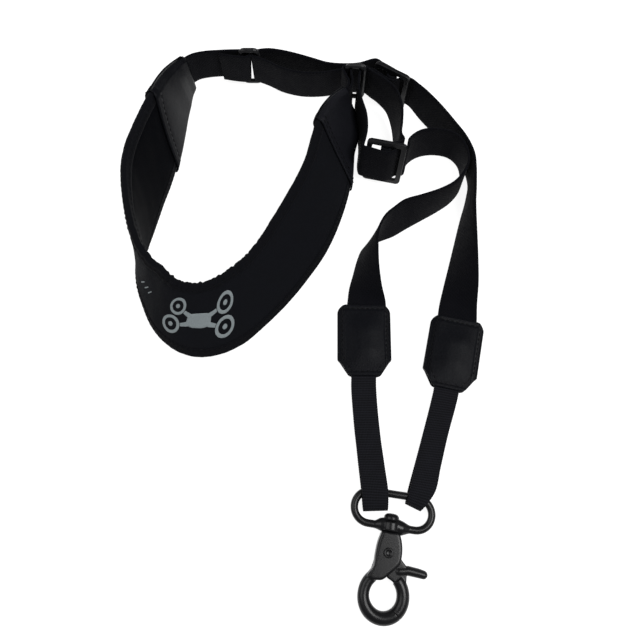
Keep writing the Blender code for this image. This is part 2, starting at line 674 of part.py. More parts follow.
def make_oval_ring():
    radius = (OVAL_UPPER_V - OVAL_LOWER_V) / 2
    middle_v = OVAL_LOWER_V + radius
    straight = OVAL_HALF_WIDTH - radius
    outline = arc((straight, middle_v), radius, -90, 90, 11) + arc((-straight, middle_v), radius, 90, 270, 11)
    ring = as_mesh(tube("swivel_ring", [hook_place(u, v) for u, v in outline], OVAL_ROD, METAL, closed=True))
    hub_middle = (HUB_BOTTOM_V + HUB_TOP_V) / 2
    hub = round_bar("hub", (0, hub_middle), HUB_RADIUS, HUB_TOP_V - HUB_BOTTOM_V, "v", METAL)
    bore = round_bar("hub_bore", (0, hub_middle), PIN_SHAFT + RUN_CLEARANCE, 20.0, "v", METAL)
    combine(ring, hub, "UNION")
    combine(ring, bore, "DIFFERENCE")


def make_pin():
    """The headed pin that the hook turns on: its shaft runs in the hub and is pressed into the hook."""
    shaft_low = HUB_BOTTOM_V - 5.4
    shaft_high = HUB_TOP_V + 1.0
    shaft = round_bar("swivel_pin", (0, (shaft_low + shaft_high) / 2), PIN_SHAFT, shaft_high - shaft_low, "v",
                      METAL)
    head = round_bar("pin_head", (0, HUB_TOP_V + GAP + 0.9), 3.9, 1.8, "v", METAL)
    combine(shaft, head, "UNION")


def make_hook():
    eye = as_mesh(tube("hook_body", eye_arc(100, 314, 23), EYE_ROD, METAL))
    outline = [
        (-3.9, 33.3), (-4.6, 30.8), (-5.7, 26.1), (-6.4, 19.9), (-6.8, 14.2), (-8.4, 11.2), (-9.4, 9.6), (-7.0, 8.0),
        (-4.0, 8.7), (-1.0, 9.2), (2.8, 12.6), (6.8, 17.4), (7.3, 21.9), (6.4, 27.5), (5.0, 31.2), (4.1, 33.3),
    ]
    blade = outline_plate("blade", [outline], BLADE_THICK, METAL, hook_place, rounding=1.2)
    slot = [(-4.9, 5.0), (-4.9, 22.0), (-4.2, 25.6), (0.0, 28.0), (4.0, 27.4), (12.0, 27.4), (12.0, 5.0)]
    cut = outline_plate("gate_slot", [slot], SLOT_THICK, METAL, hook_place)
    hole = round_bar("rivet_hole", (0, PIVOT_V), RIVET_SHAFT + 0.05, 20.0, "n", METAL)
    pin_hole = round_bar("pin_hole", (0, HUB_BOTTOM_V - 2.0), PIN_SHAFT + RUN_CLEARANCE, 7.6, "v", METAL)
    combine(eye, blade, "UNION")
    for tool in (cut, hole, pin_hole):
        combine(eye, tool, "DIFFERENCE")


def make_gate():
    """The gate closes the eye's right side; its root turns on the rivet and its lever sticks out."""
    gate = as_mesh(tube("hook_gate", eye_arc(50, -42, 10), GATE_ROD, METAL))
    root = [
        (-3.6, 23.6), (-3.8, 21.6), (-2.2, 17.0), (-0.3, 13.0), (0.7, 9.4), (3.0, 8.3), (4.8, 7.2), (6.2, 6.0),
        (12.2, 6.0), (11.8, 9.0), (10.9, 12.2), (21.4, 11.9), (22.5, 12.6), (22.4, 16.2), (21.4, 16.9),
        (10.4, 17.2), (8.6, 19.0), (5.6, 22.6), (4.0, 25.2), (2.0, 26.6), (-1.0, 26.6), (-3.0, 25.2),
    ]
    plate = outline_plate("gate_root", [root], GATE_THICK, METAL, hook_place, rounding=0.6)
    combine(gate, plate, "UNION")
    hole = round_bar("gate_hole", (0, PIVOT_V), RIVET_SHAFT + RUN_CLEARANCE, 20.0, "n", METAL)
    combine(gate, hole, "DIFFERENCE")
    pocket = round_bar("spring_pocket", (0, PIVOT_V, GATE_THICK / 2), 3.3, 2.6 * 2 - 1.0, "n", METAL)
    combine(gate, pocket, "DIFFERENCE")


def make_rivet():
    rivet = round_bar("gate_rivet", (0, PIVOT_V), RIVET_SHAFT, BLADE_THICK + 1.2, "n", METAL)
    for k, side in enumerate((1, -1)):
        offset = side * (BLADE_THICK / 2 + GAP + 0.35)
        combine(rivet, round_bar(f"rivet_head_{k}", (0, PIVOT_V, offset), 2.6, 0.7, "n", METAL), "UNION")


def make_spring():
    """Three turns of wire round the rivet, in the gate's pocket."""
    turns, per_turn, wire, radius = 2.5, 12, 0.26, 2.45
    low = GATE_THICK / 2 - 1.5
    points = []
    for k in range(int(turns * per_turn) + 1):
        a = 2 * math.pi * k / per_turn
        points.append(hook_place(radius * math.cos(a), PIVOT_V + radius * math.sin(a), low + 0.56 * k / per_turn))
    tube("gate_spring", points, wire, STEEL)


make_pad()
make_caps()
make_tabs()
make_ring("left_ring", LEFT_RING)
make_ring("right_ring", RIGHT_RING)
make_slider("left_slider", LEFT_SLIDER)
make_slider("right_slider", RIGHT_SLIDER)
make_left_strap()
make_right_strap()
make_patches()
make_loops()
make_oval_ring()
make_pin()
make_hook()
make_gate()
make_rivet()
make_spring()
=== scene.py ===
import math
from contextlib import contextmanager

import bmesh
import bpy
import numpy as np
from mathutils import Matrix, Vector


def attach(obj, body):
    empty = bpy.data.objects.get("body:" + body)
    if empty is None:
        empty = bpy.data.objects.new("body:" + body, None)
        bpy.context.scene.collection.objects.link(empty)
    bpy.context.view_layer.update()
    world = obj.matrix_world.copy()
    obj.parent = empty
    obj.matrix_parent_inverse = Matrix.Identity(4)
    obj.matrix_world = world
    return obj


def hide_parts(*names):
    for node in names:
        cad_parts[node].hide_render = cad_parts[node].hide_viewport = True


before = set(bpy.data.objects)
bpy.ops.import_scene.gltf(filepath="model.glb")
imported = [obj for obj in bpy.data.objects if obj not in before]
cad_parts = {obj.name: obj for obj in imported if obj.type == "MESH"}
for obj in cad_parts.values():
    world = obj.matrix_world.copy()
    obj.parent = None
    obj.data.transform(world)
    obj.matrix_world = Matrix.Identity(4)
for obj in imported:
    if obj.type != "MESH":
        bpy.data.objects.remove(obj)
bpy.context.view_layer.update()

# ---------------------------------------------------------------- sizes in millimetres on the layout grid
MM = 0.001
MERGE = 1e-6
MIDDLE = (-9.15, 114.4)
LOWEST = 0.08
GAP = 0.3
CAMERA_HEIGHT = 356.0
CAMERA_TILT = 17.0
FOCAL = 36.0 * 590 / 640

STRAP_WIDTH = 25.0
STRAP_THICK = 1.5
LOOP_THICK = 1.4
BAND_COLUMNS = 9
FLOOR_LIFT = 0.4
RIB_PITCH = 1.45

CORE_THICK = 3.4
CLOTH_THICK = 0.8
PAD_HALF = CORE_THICK / 2 + GAP + CLOTH_THICK
CAP_THICK = 1.2
CAP_SEAMS = {"left": (68.0, 44.0), "right": (58.0, 30.0)}
CAP_END = 2.6
CAP_PAST = 0.058
CAP_COLUMNS = 46
TAB_START = 17.0
TAB_LEAN = 1.7

RING_ROD = 1.6
RING_ACROSS = 14.6
SLIDER_LONG = 33.0
SLIDER_THICK = 2.6

PATCH_HALF_WIDTH = 16.6
PATCH_HALF_HEIGHT = 22.6
PATCH_THICK = 1.2
PATCH_CORNER = 5.0
PATCH_CUT = 11.0
PATCH_CUT_SLOPE = 0.66
PATCH_CUT_ROUND = 1.6

HOOK_PLANE = 5.2
HOOK_TURN = -8.6
EYE_CENTRE = (34.3, -49.7)
EYE_ACROSS = 10.8
EYE_ALONG = 11.9
EYE_BELOW = 11.2
PIVOT_V = 22.4
BLADE_THICK = 8.0
SLOT_THICK = 4.8
GATE_THICK = 4.2
HUB_BOTTOM_V = 33.8
OVAL_ROD = 2.15
OVAL_LOWER_V = 36.0
OVAL_UPPER_V = 53.6
OVAL_HALF_WIDTH = 22.0
OVAL_SHIFT = 0.3


# ---------------------------------------------------------------- points, noise and meshes
def at(points):
    """Grid points in millimetres as places in metres."""
    return (np.asarray(points, float) - np.array([*MIDDLE, LOWEST])) * MM


def wander(x, seed, pitches):
    """A smooth uneven wave between about -1 and 1, from sines of the given pitches."""
    total = np.zeros_like(np.asarray(x, float))
    for k, pitch in enumerate(pitches):
        start = 2.399 * (seed + 1) * (k + 1) + 0.7 * k * k
        total = total + np.sin(2 * np.pi * np.asarray(x, float) / pitch + start)
    return total / math.sqrt(2.0 * len(pitches))


def ease(x):
    """Goes from 0 to 1 with level ends."""
    x = np.clip(x, 0.0, 1.0)
    return x * x * (3 - 2 * x)


@contextmanager
def edited(mesh):
    """A mesh opened for editing, with its faces turned outwards when it is closed."""
    build = bmesh.new()
    build.from_mesh(mesh)
    yield build
    bmesh.ops.recalc_face_normals(build, faces=build.faces)
    build.to_mesh(mesh)
    build.free()


def solid(name, points, faces, finish, uv=None):
    """A smooth object of points in millimetres, with its faces turned outwards."""
    mesh = bpy.data.meshes.new(name)
    mesh.from_pydata([tuple(p) for p in at(points)], [], faces)
    if uv is not None:
        layer = mesh.uv_layers.new(name="UVMap")
        loops = np.zeros(len(mesh.loops), int)
        mesh.loops.foreach_get("vertex_index", loops)
        layer.data.foreach_set("uv", (uv[loops] * MM).astype(np.float32).ravel())
    mesh.polygons.foreach_set("use_smooth", np.ones(len(mesh.polygons), bool))
    with edited(mesh):
        pass
    made = bpy.data.objects.new(name, mesh)
    bpy.context.scene.collection.objects.link(made)
    mesh.materials.append(finish)
    return made


def put(made, body, stands_for=()):
    """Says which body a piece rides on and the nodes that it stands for."""
    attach(made, body)
    if stands_for:
        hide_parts(*stands_for)
    return made


def surface(name, grid, uv, finish, wrap=False, capped=False):
    """A smooth mesh over a grid of points; wrap closes each row on itself, capped closes both ends."""
    rows, columns = grid.shape[:2]
    index = np.arange(rows * columns).reshape(rows, columns)
    near, far = index[:-1], index[1:]
    if wrap:
        a, b = near, np.roll(near, -1, axis=1)
        d, c = far, np.roll(far, -1, axis=1)
    else:
        a, b, d, c = near[:, :-1], near[:, 1:], far[:, :-1], far[:, 1:]
    quads = np.stack([a.ravel(), b.ravel(), c.ravel(), d.ravel()], axis=1)
    faces = [tuple(int(i) for i in q) for q in quads]
    if capped:
        faces.append(tuple(int(i) for i in index[0][::-1]))
        faces.append(tuple(int(i) for i in index[-1]))
    return solid(name, grid.reshape(-1, 3), faces, finish, uv.reshape(-1, 2))


# ---------------------------------------------------------------- lines and webbing
SPANS = (((0, 1), (1, 2), (2, 3)), ((0, 2), (1, 3)), ((1, 2),))


def smooth(points, step):
    """Rows about step apart on the centripetal Catmull-Rom curve through the given rows."""
    given = np.array(points, float)
    ends = np.vstack([2 * given[0] - given[1], given, 2 * given[-1] - given[-2]])
    gaps = np.linalg.norm(np.diff(ends, axis=0), axis=1)
    knots = np.concatenate([[0.0], np.cumsum(np.sqrt(gaps))])
    made = []
    for i in range(1, len(ends) - 2):
        times = knots[i - 1:i + 3]
        count = max(1, round(gaps[i] / step))
        now = np.linspace(times[1], times[2], count, endpoint=False)[:, None]
        row = list(ends[i - 1:i + 3])
        for spans in SPANS:
            row = [
                ((times[hi] - now) * row[k] + (now - times[lo]) * row[k + 1]) / (times[hi] - times[lo])
                for k, (lo, hi) in enumerate(spans)
            ]
        made.append(row[0])
    made.append(given[-1:])
    return np.vstack(made)


def along_line(points):
    """The distance along a line at each of its points."""
    return np.concatenate([[0.0], np.cumsum(np.linalg.norm(np.diff(points, axis=0), axis=1))])


def resample(rows, step):
    """Even rows at about step apart, by the distance along their middle line."""
    middle = (rows[:, :3] + rows[:, 3:]) / 2
    far = along_line(middle)
    places = np.linspace(0, far[-1], max(2, round(far[-1] / step)))
    return np.stack([np.interp(places, far, rows[:, k]) for k in range(rows.shape[1])], axis=1), places


def unit(vectors):
    return vectors / np.maximum(1e-9, np.linalg.norm(vectors, axis=-1, keepdims=True))


def upright(x, y, low, width, lean_x=0.0, lean_y=0.0):
    """A station of webbing that stands on edge, with its upper edge moved sideways by the lean."""
    rise = math.sqrt(width ** 2 - lean_x ** 2 - lean_y ** 2)
    return (x, y, low, x + lean_x, y + lean_y, low + rise)


def standing(spots):
    """Stations of a strap on edge, from each place's x, y, height and, if it leans, its leans."""
    return [upright(x, y, low, STRAP_WIDTH, *leans) for x, y, low, *leans in spots]


def arc(centre, radius, start, end, count):
    """Points on an arc, in degrees, from start to end."""
    turns = np.radians(np.linspace(start, end, count))
    return [(centre[0] + radius * math.cos(t), centre[1] + radius * math.sin(t)) for t in turns]


def band_profile(thick, columns, rounding):
    """Half of a band's outline: places across from -0.5 to 0.5 and the half thickness at each."""
    inner = np.linspace(-0.5 + rounding, 0.5 - rounding, columns)
    turn = np.linspace(0.15, math.pi / 2, 5)[:-1]
    left = -0.5 + rounding * (1 - np.cos(turn))
    edge = np.sin(turn)
    spots = np.concatenate([left, inner, -left[::-1]])
    half = np.concatenate([edge, np.ones(columns), edge[::-1]]) * thick / 2
    return spots, half


def band(name, stations, thick, finish, step, ribs=0.0, rib_pitch=RIB_PITCH):
    """Webbing through stations, each its lower edge's x, y, z and then its upper edge's."""
    rows, far = resample(smooth(stations, 1.0), step)
    low, high = rows[:, None, :3], rows[:, None, 3:]
    wide = np.linalg.norm(high - low, axis=2)[:, :, None]
    across = unit(high - low)
    tangent = unit(np.gradient((low + high)[:, 0] / 2, axis=0))[:, None, :]
    normal = unit(np.cross(tangent, across))
    spots, half = band_profile(thick, BAND_COLUMNS, thick * 0.32 / STRAP_WIDTH)
    beat = np.abs(np.sin(np.pi * far / rib_pitch))[:, None, None]
    middle = (low + high) / 2
    out = spots[None, :, None] * (wide + 1.6 * ribs * (beat - 0.5))
    rise = half[None, :, None] + ribs * (beat - 0.5) * (half > thick * 0.4)[None, :, None]
    top = middle + across * out + normal * rise
    bottom = middle + across * out + normal * -rise
    grid = np.concatenate([top, bottom[:, ::-1]], axis=1)
    v = np.concatenate([spots, spots[::-1]])[None, :] * wide[:, :, 0]
    u = np.repeat(far[:, None], grid.shape[1], axis=1)
    made = surface(name, grid, np.stack([u, v], axis=2), finish, wrap=True, capped=True)
    made["mm_long"] = float(far[-1])
    return made


# One stitch: places along it, and its height and thickness there in thread radii.
STITCH_SHARES = np.array([0.0, 0.18, 0.5, 0.82, 1.0])
STITCH_HEIGHTS = np.array([-1.6, 0.25, 0.55, 0.25, -1.6])
STITCH_SIZES = (0.7, 1.0, 1.05, 1.0, 0.7)


def stitches(name, line, outward, length, space, radius, lift=0.05):
    """A row of thread: short bent tubes that dip into the cloth at both ends."""
    line, outward = np.asarray(line, float), unit(np.asarray(outward, float))
    far = along_line(line)
    count = max(1, int((far[-1] - 0.4) / (length + space)))
    start = (far[-1] - count * (length + space) + space) / 2
    points, faces = [], []
    sides, last = 6, 6 * (len(STITCH_SHARES) - 1)
    turns = np.linspace(0, 2 * np.pi, sides, endpoint=False)
    for k in range(count):
        places = start + k * (length + space) + STITCH_SHARES * length
        spots = np.stack([np.interp(places, far, line[:, i]) for i in range(3)], axis=1)
        up = unit(np.stack([np.interp(places, far, outward[:, i]) for i in range(3)], axis=1))
        side = unit(np.cross(unit(np.gradient(spots, axis=0)), up))
        height = lift + radius * STITCH_HEIGHTS
        for spot, u, s, h, size in zip(spots, up, side, height, STITCH_SIZES):
            for t in turns:
                raised = u * (h + radius * 0.8 * size * math.sin(t))
                points.append(spot + raised + s * radius * size * math.cos(t))
        first = len(points) - last - sides
        for ring in range(first, first + last, sides):
            for i in range(sides):
                a, b = ring + i, ring + (i + 1) % sides
                faces.append((a, b, b + sides, a + sides))
        faces.append(tuple(first + i for i in reversed(range(sides))))
        faces.append(tuple(first + last + i for i in range(sides)))
    return solid(name, points, faces, THREAD)


def rod(name, points, radius, finish, closed=False, sides=16, rounded_ends=True):
    """A round bar along a line of points, with domed ends."""
    points = np.asarray(points, float)
    radii = np.full(len(points), float(radius)) if np.isscalar(radius) else np.asarray(radius, float)
    if not closed and rounded_ends:
        first, last = unit(points[0] - points[1]), unit(points[-1] - points[-2])
        bends = np.linspace(0.08, 1.0, 5) * math.pi / 2
        head = [points[0] + first * radii[0] * math.cos(b) for b in bends[:-1]]
        tail = [points[-1] + last * radii[-1] * math.cos(b) for b in bends[:-1][::-1]]
        sizes = [radii[0] * math.sin(b) for b in bends[:-1]]
        radii = np.concatenate([sizes, radii, [radii[-1] * math.sin(b) for b in bends[:-1][::-1]]])
        points = np.vstack([head, points, tail])
    if closed:
        tangent = unit(np.roll(points, -1, axis=0) - np.roll(points, 1, axis=0))
    else:
        tangent = unit(np.gradient(points, axis=0))
    up = np.tile([0.0, 0.0, 1.0], (len(points), 1))
    side = unit(np.cross(tangent, up) + 1e-6)
    up = np.cross(side, tangent)
    turns = np.linspace(0, 2 * np.pi, sides, endpoint=False)
    grid = points[:, None] + radii[:, None, None] * (
        side[:, None] * np.cos(turns)[None, :, None] + up[:, None] * np.sin(turns)[None, :, None])
    far = along_line(points)
    round_it = turns[None, :] * (radius if np.isscalar(radius) else 1.0)
    uv = np.stack(np.broadcast_arrays(far[:, None], round_it), axis=2)
    if closed:
        grid, uv = np.concatenate([grid, grid[:1]]), np.concatenate([uv, uv[:1]])
    made = surface(name, grid, uv, finish, wrap=True, capped=not closed)
    if closed:
        build = bmesh.new()
        build.from_mesh(made.data)
        bmesh.ops.remove_doubles(build, verts=build.verts, dist=MERGE)
        build.to_mesh(made.data)
        build.free()
    return made


# ---------------------------------------------------------------- finishes
class Finish:
    """A Principled material whose colour, roughness and relief come from its own nodes."""

    def __init__(self, name, colour, roughness, metallic=0.0, specular=0.5):
        self.made = bpy.data.materials.new(name)
        self.made.use_nodes = True
        self.tree = self.made.node_tree
        self.out = self.tree.nodes["Principled BSDF"]
        self.out.inputs["Base Color"].default_value = (*colour, 1.0)
        self.out.inputs["Roughness"].default_value = roughness
        self.out.inputs["Metallic"].default_value = metallic
        self.out.inputs["Specular IOR Level"].default_value = specular
        self.made.diffuse_color = (*colour, 1.0)
        self.colour = colour

    def node(self, kind, **values):
        made = self.tree.nodes.new("ShaderNode" + kind)
        for name, value in values.items():
            setattr(made, name, value)
        return made

    def link(self, source, target):
        self.tree.links.new(source, target)

    def math(self, operation, first, second=None):
        made = self.node("Math", operation=operation)
        for k, value in enumerate((first, second)):
            if value is None:
                continue
            if isinstance(value, (int, float)):
                made.inputs[k].default_value = value
            else:
                self.link(value, made.inputs[k])
        return made.outputs[0]

    def spread(self, value, low, high, new_low, new_high):
        made = self.node("MapRange")
        self.link(value, made.inputs["Value"])
        ends = {"From Min": low, "From Max": high, "To Min": new_low, "To Max": new_high}
        for name, number in ends.items():
            made.inputs[name].default_value = number
        return made.outputs["Result"]

    def noise(self, scale, detail):
        made = self.node("TexNoise")
        made.inputs["Scale"].default_value = scale
        made.inputs["Detail"].default_value = detail
        self.link(self.place(), made.inputs["Vector"])
        return made.outputs["Fac"]

    def place(self):
        return self.node("TexCoord").outputs["Object"]

    def along_across(self):
        """The distance along and across the cloth, in metres."""
        parts = self.node("SeparateXYZ")
        self.link(self.node("TexCoord").outputs["UV"], parts.inputs[0])
        return parts.outputs["X"], parts.outputs["Y"]

    def wave(self, value, pitch_mm, shift=0.0):
        """A wave from 0 to 1 with its pitch in millimetres."""
        turned = self.math("MULTIPLY_ADD", value, 2 * math.pi / (pitch_mm * MM))
        turned.node.inputs[2].default_value = shift
        return self.spread(self.math("SINE", turned), -1.0, 1.0, 0.0, 1.0)

    def blend(self, first, first_share, second, second_share):
        """The sum of two values, each times its share."""
        return self.math("ADD", self.math("MULTIPLY", first, first_share),
                         self.math("MULTIPLY", second, second_share))

    def relief(self, height, distance_mm, strength=1.0, after=None):
        made = self.node("Bump")
        made.inputs["Strength"].default_value = strength
        made.inputs["Distance"].default_value = distance_mm * MM
        self.link(height, made.inputs["Height"])
        if after is not None:
            self.link(after, made.inputs["Normal"])
        return made.outputs["Normal"]

    def shade(self, value, dark, light):
        """The base colour goes from dark to light times its own value."""
        low, high = (tuple(c * k for c in self.colour) for k in (dark, light))
        made = self.node("Mix", data_type="RGBA")
        made.inputs[6].default_value = (*low, 1.0)
        made.inputs[7].default_value = (*high, 1.0)
        self.link(value, made.inputs[0])
        self.link(made.outputs[2], self.out.inputs["Base Color"])

    def finish(self, normal=None, roughness=None):
        if normal is not None:
            self.link(normal, self.out.inputs["Normal"])
        if roughness is not None:
            self.link(roughness, self.out.inputs["Roughness"])
        return self.made


def woven(name, colour, warp_mm, weft_mm, depth_mm, ribbed=False):
    """Nylon webbing: twill-like ridges of warp crossed by weft, and fine fuzz."""
    kind = Finish(name, colour, 0.85, specular=0.07)
    along, across = kind.along_across()
    if ribbed:
        weft = kind.wave(along, weft_mm, -math.pi / 2)
        warp = kind.wave(across, warp_mm)
        height = kind.blend(weft, 0.6, warp, 0.4)
    else:
        even = kind.math("MULTIPLY", along, warp_mm / weft_mm)
        ways = (kind.math(way, even, across) for way in ("ADD", "SUBTRACT"))
        height = kind.math("MAXIMUM", *(kind.wave(way, warp_mm * 2) for way in ways))
    worn = kind.noise(160.0, 4.0)
    fuzz = kind.noise(3800.0, 2.0)
    # The base colour follows the relief's height, darker in the weave's grooves and lighter on its ridges:
    # painted shade and painted highlight, strongest on the ribbed webbing. The worn noise adds uneven tone.
    dark, light = (0.1, 2.4) if ribbed else (0.6, 1.5)
    kind.shade(kind.blend(height, 0.6, worn, 0.4), dark, light)
    rough = kind.spread(worn, 0.3, 0.7, 0.78, 0.92)
    normal = kind.relief(height, depth_mm, 0.9)
    kind.out.inputs["Sheen Weight"].default_value = 0.02
    kind.out.inputs["Sheen Roughness"].default_value = 0.5
    return kind.finish(kind.relief(fuzz, 0.05, 0.35, normal), rough)


def knit(name, colour, specular=0.08):
    """The pad's cloth: a fine stretch knit bonded on foam."""
    kind = Finish(name, colour, 0.9, specular=specular)
    along, across = kind.along_across()
    loops = kind.math("MULTIPLY", kind.wave(along, 0.62), kind.wave(across, 0.5))
    soft = kind.noise(90.0, 4.0)
    fuzz = kind.noise(3000.0, 3.0)
    kind.shade(kind.blend(loops, 0.35, soft, 0.65), 0.6, 1.35)
    kind.out.inputs["Sheen Weight"].default_value = 0.02
    kind.out.inputs["Sheen Roughness"].default_value = 0.45
    normal = kind.relief(loops, 0.09, 0.8)
    return kind.finish(kind.relief(fuzz, 0.05, 0.4, normal), kind.spread(soft, 0.3, 0.7, 0.85, 0.95))


def leather(name, colour):
    """Leather-look sheet: fine pebbled grain, smoother and lighter where it is rubbed."""
    kind = Finish(name, colour, 0.42, specular=0.05)
    cells = kind.node("TexVoronoi", feature="DISTANCE_TO_EDGE")
    cells.inputs["Scale"].default_value = 950.0
    bent = kind.node("VectorMath", operation="ADD")
    wobble = kind.node("TexNoise")
    wobble.inputs["Scale"].default_value = 700.0
    kind.link(kind.place(), wobble.inputs["Vector"])
    small = kind.node("VectorMath", operation="SCALE")
    small.inputs["Scale"].default_value = 0.0006
    kind.link(wobble.outputs["Color"], small.inputs[0])
    kind.link(kind.place(), bent.inputs[0])
    kind.link(small.outputs[0], bent.inputs[1])
    kind.link(bent.outputs[0], cells.inputs["Vector"])
    pebbles = kind.spread(cells.outputs["Distance"], 0.0, 0.28, 0.0, 1.0)
    broad = kind.noise(60.0, 5.0)
    creased = kind.noise(420.0, 6.0)
    kind.shade(kind.blend(pebbles, 0.4, broad, 0.6), 0.6, 1.4)
    normal = kind.relief(pebbles, 0.07, 0.55)
    normal = kind.relief(creased, 0.12, 0.35, normal)
    rough = kind.math("ADD", broad, kind.math("MULTIPLY", pebbles, 0.3))
    return kind.finish(normal, kind.spread(rough, 0.3, 1.0, 0.3, 0.46))


def plastic(name, colour):
    """Moulded plastic with a fine texture and slight scuffs; its edges are softened in the shading."""
    kind = Finish(name, colour, 0.42, specular=0.26)
    soft = kind.node("Bevel", samples=6)
    soft.inputs["Radius"].default_value = 0.35 * MM
    grain = kind.noise(2600.0, 2.0)
    scuffs = kind.noise(180.0, 6.0)
    kind.shade(scuffs, 0.8, 1.3)
    normal = kind.relief(grain, 0.02, 0.5, soft.outputs["Normal"])
    return kind.finish(normal, kind.spread(scuffs, 0.3, 0.7, 0.34, 0.5))


def coated_metal(name, colour):
    """Satin black coating over cast zinc: an orange-peel skin with blotches of lighter and darker tone."""
    kind = Finish(name, colour, 0.3, specular=0.24)
    peel = kind.noise(900.0, 3.0)
    blotches = kind.noise(130.0, 5.0)
    speckle = kind.noise(3400.0, 2.0)
    kind.shade(kind.blend(blotches, 0.7, speckle, 0.3), 0.75, 1.35)
    normal = kind.relief(peel, 0.05, 0.35)
    normal = kind.relief(speckle, 0.012, 0.4, normal)
    return kind.finish(normal, kind.spread(blotches, 0.3, 0.7, 0.24, 0.36))


def thread_finish(name, colour):
    """Twisted sewing thread."""
    kind = Finish(name, colour, 0.7, specular=0.12)
    twist = kind.noise(5000.0, 1.0)
    kind.shade(twist, 0.7, 1.3)
    return kind.finish(kind.relief(twist, 0.05, 0.5))


def ink(name, colour):
    """Screen-print ink: an even film, slightly cracked over the knit."""
    kind = Finish(name, colour, 0.55, specular=0.35)
    along, across = kind.along_across()
    loops = kind.math("MULTIPLY", kind.wave(along, 0.62), kind.wave(across, 0.5))
    kind.shade(kind.blend(kind.noise(1500.0, 3.0), 0.7, loops, 0.3), 0.6, 1.25)
    return kind.finish(kind.relief(loops, 0.06, 0.6))


WEBBING = woven("webbing", (0.0017, 0.0018, 0.0030), 1.1, 1.1, 0.16)
RIBBED = woven("ribbed_webbing", (0.0056, 0.0057, 0.0074), 0.9, RIB_PITCH, 0.12, ribbed=True)
KNIT = knit("pad_knit", (0.0040, 0.0044, 0.0062))
LINING = knit("lining_knit", (0.0012, 0.0014, 0.0024), 0.03)
TAPE = knit("binding_tape", (0.0034, 0.0037, 0.0052))
LEATHER = leather("leather", (0.0040, 0.0043, 0.0058))
# A lighter copy of the same leather, for the right cap's outer panel: painted light, standing in for the
# light that falls more on that panel.
LIT_LEATHER = leather("painted_light_leather", (0.0085, 0.0088, 0.0112))
PLASTIC = plastic("plastic", (0.0032, 0.0033, 0.0044))
METAL = coated_metal("coated_metal", (0.0055, 0.0055, 0.0062))
THREAD = thread_finish("thread", (0.0020, 0.0020, 0.0026))
INK = ink("print_ink", (0.21, 0.24, 0.25))
STEEL = Finish("spring_steel", (0.35, 0.35, 0.36), 0.3, metallic=1.0).finish()


# ---------------------------------------------------------------- neck pad
PAD_STATIONS = (
    (-89.5, 282.5, 4, -89.5, 283, 31.5),
    (-92.8, 270, 4, -96, 272, 36),
    (-94.8, 256, 4, -101, 259.5, 40.5),
    (-96, 241, 4, -104.6, 243, 46),
    (-97, 229, 4, -108.4, 231, 47),
    (-98.8, 216, 4, -112.6, 218, 47),
    (-101.2, 204, 4, -115.4, 205, 48),
    (-104.4, 192, 4, -116.2, 191, 48.5),
    (-107.8, 178, 4, -114.6, 176.4, 49),
    (-111.0, 165, 4, -111.6, 162, 49),
    (-113.8, 153.6, 4, -108.0, 149.6, 48),
    (-115.5, 142.6, 4.2, -103.4, 139.6, 45.5),
    (-114.3, 131, 4.4, -97.6, 132.4, 41),
    (-110.6, 119.5, 4.6, -90.3, 127, 36),
    (-104.0, 105.2, 4.8, -83.8, 122.3, 33),
    (-94.5, 93.9, 4.8, -77.2, 120.6, 32),
    (-84, 87.3, 4.8, -70.4, 121, 31),
    (-72.2, 85.1, 4.8, -63.8, 123.2, 31),
    (-59.4, 87.5, 4.8, -56.8, 127.4, 31),
    (-46.6, 94.2, 4.8, -49.4, 133, 31),
    (-35.4, 104.2, 4.8, -43, 139.4, 31),
    (-21, 119.5, 4.8, -35.4, 150, 31),
    (-8, 136.6, 4.8, -28, 163.4, 31),
    (3, 154, 4.8, -20.6, 177, 31.5),
    (12.2, 176, 4.8, -13.6, 191, 32),
    (18.6, 200, 4.6, -7.6, 205.4, 33),
    (20.2, 218, 4.4, -3.6, 220.6, 34),
    (20.8, 234, 4.2, 0.4, 234, 36),
    (20.6, 247, 4, 8, 247, 35.5),
    (20.8, 258.5, 4, 18.6, 258, 33),
)
PAD_TALL = 48.0
PAD_INSET = 22.0
PAD_LINE = smooth(PAD_STATIONS, 1.0)
PAD_ALONG = along_line(PAD_LINE[:, :3])
PAD_LENGTH = PAD_ALONG[-1]
PRINT_MIDDLE = (216.0, 0.5)


def pad_at(along, across, off):
    """Points of the pad: along its floor edge, across from 0 there to 1 at the top, and off outwards."""
    along, across, off = np.broadcast_arrays(*(np.asarray(x, float) for x in (along, across, off)))
    here, ahead, behind = (
        np.stack([np.interp(x, PAD_ALONG, PAD_LINE[:, k]) for k in range(6)], axis=-1)
        for x in (along, along + 3.0, along - 3.0)
    )
    share = across[..., None]
    ways = [s[..., :3] + share * (s[..., 3:] - s[..., :3]) for s in (here, ahead, behind)]
    normal = unit(np.cross(ways[1] - ways[2], here[..., 3:] - here[..., :3]))
    return ways[0] + off[..., None] * normal


def pad_bend(along):
    """1 where the pad curves tightest and its upper edge gathers, 0 along its straight arms."""
    return ease((along - 120) / 40) * ease((330 - along) / 110)


def pad_folds(along, across):
    """How far the pad's middle surface moves outwards where the standing foam buckles and puckers."""
    bend = pad_bend(along)
    top = across ** 2
    near_top = np.exp(-((1 - across) / 0.16) ** 2)
    below_top = np.exp(-((across - 0.75) / 0.25) ** 2)
    pucker = wander(along, 3, (8.3, 5.9, 12.7, 17.1)) * near_top * (0.12 + 0.88 * bend)
    broad = wander(along + 14 * across, 1, (44.0, 67.0, 29.0)) * (0.35 + 0.65 * top) * (0.3 + 0.7 * bend)
    fine = wander(along + 30 * across, 5, (15.0, 23.0)) * bend * below_top
    return 0.45 * pucker + 0.45 * broad + 0.2 * fine


def pad_half(along, across):
    """Half the pad's thickness: full inside, pinched where the binding holds its long edges."""
    from_edge = np.minimum(across, 1 - across) * PAD_TALL
    pinch = 1 - 0.42 * np.exp(-(np.maximum(0, from_edge) / 4.2) ** 2)
    return PAD_HALF * pinch * (1 + 0.03 * wander(along + 40 * across, 8, (15.0, 26.0)))


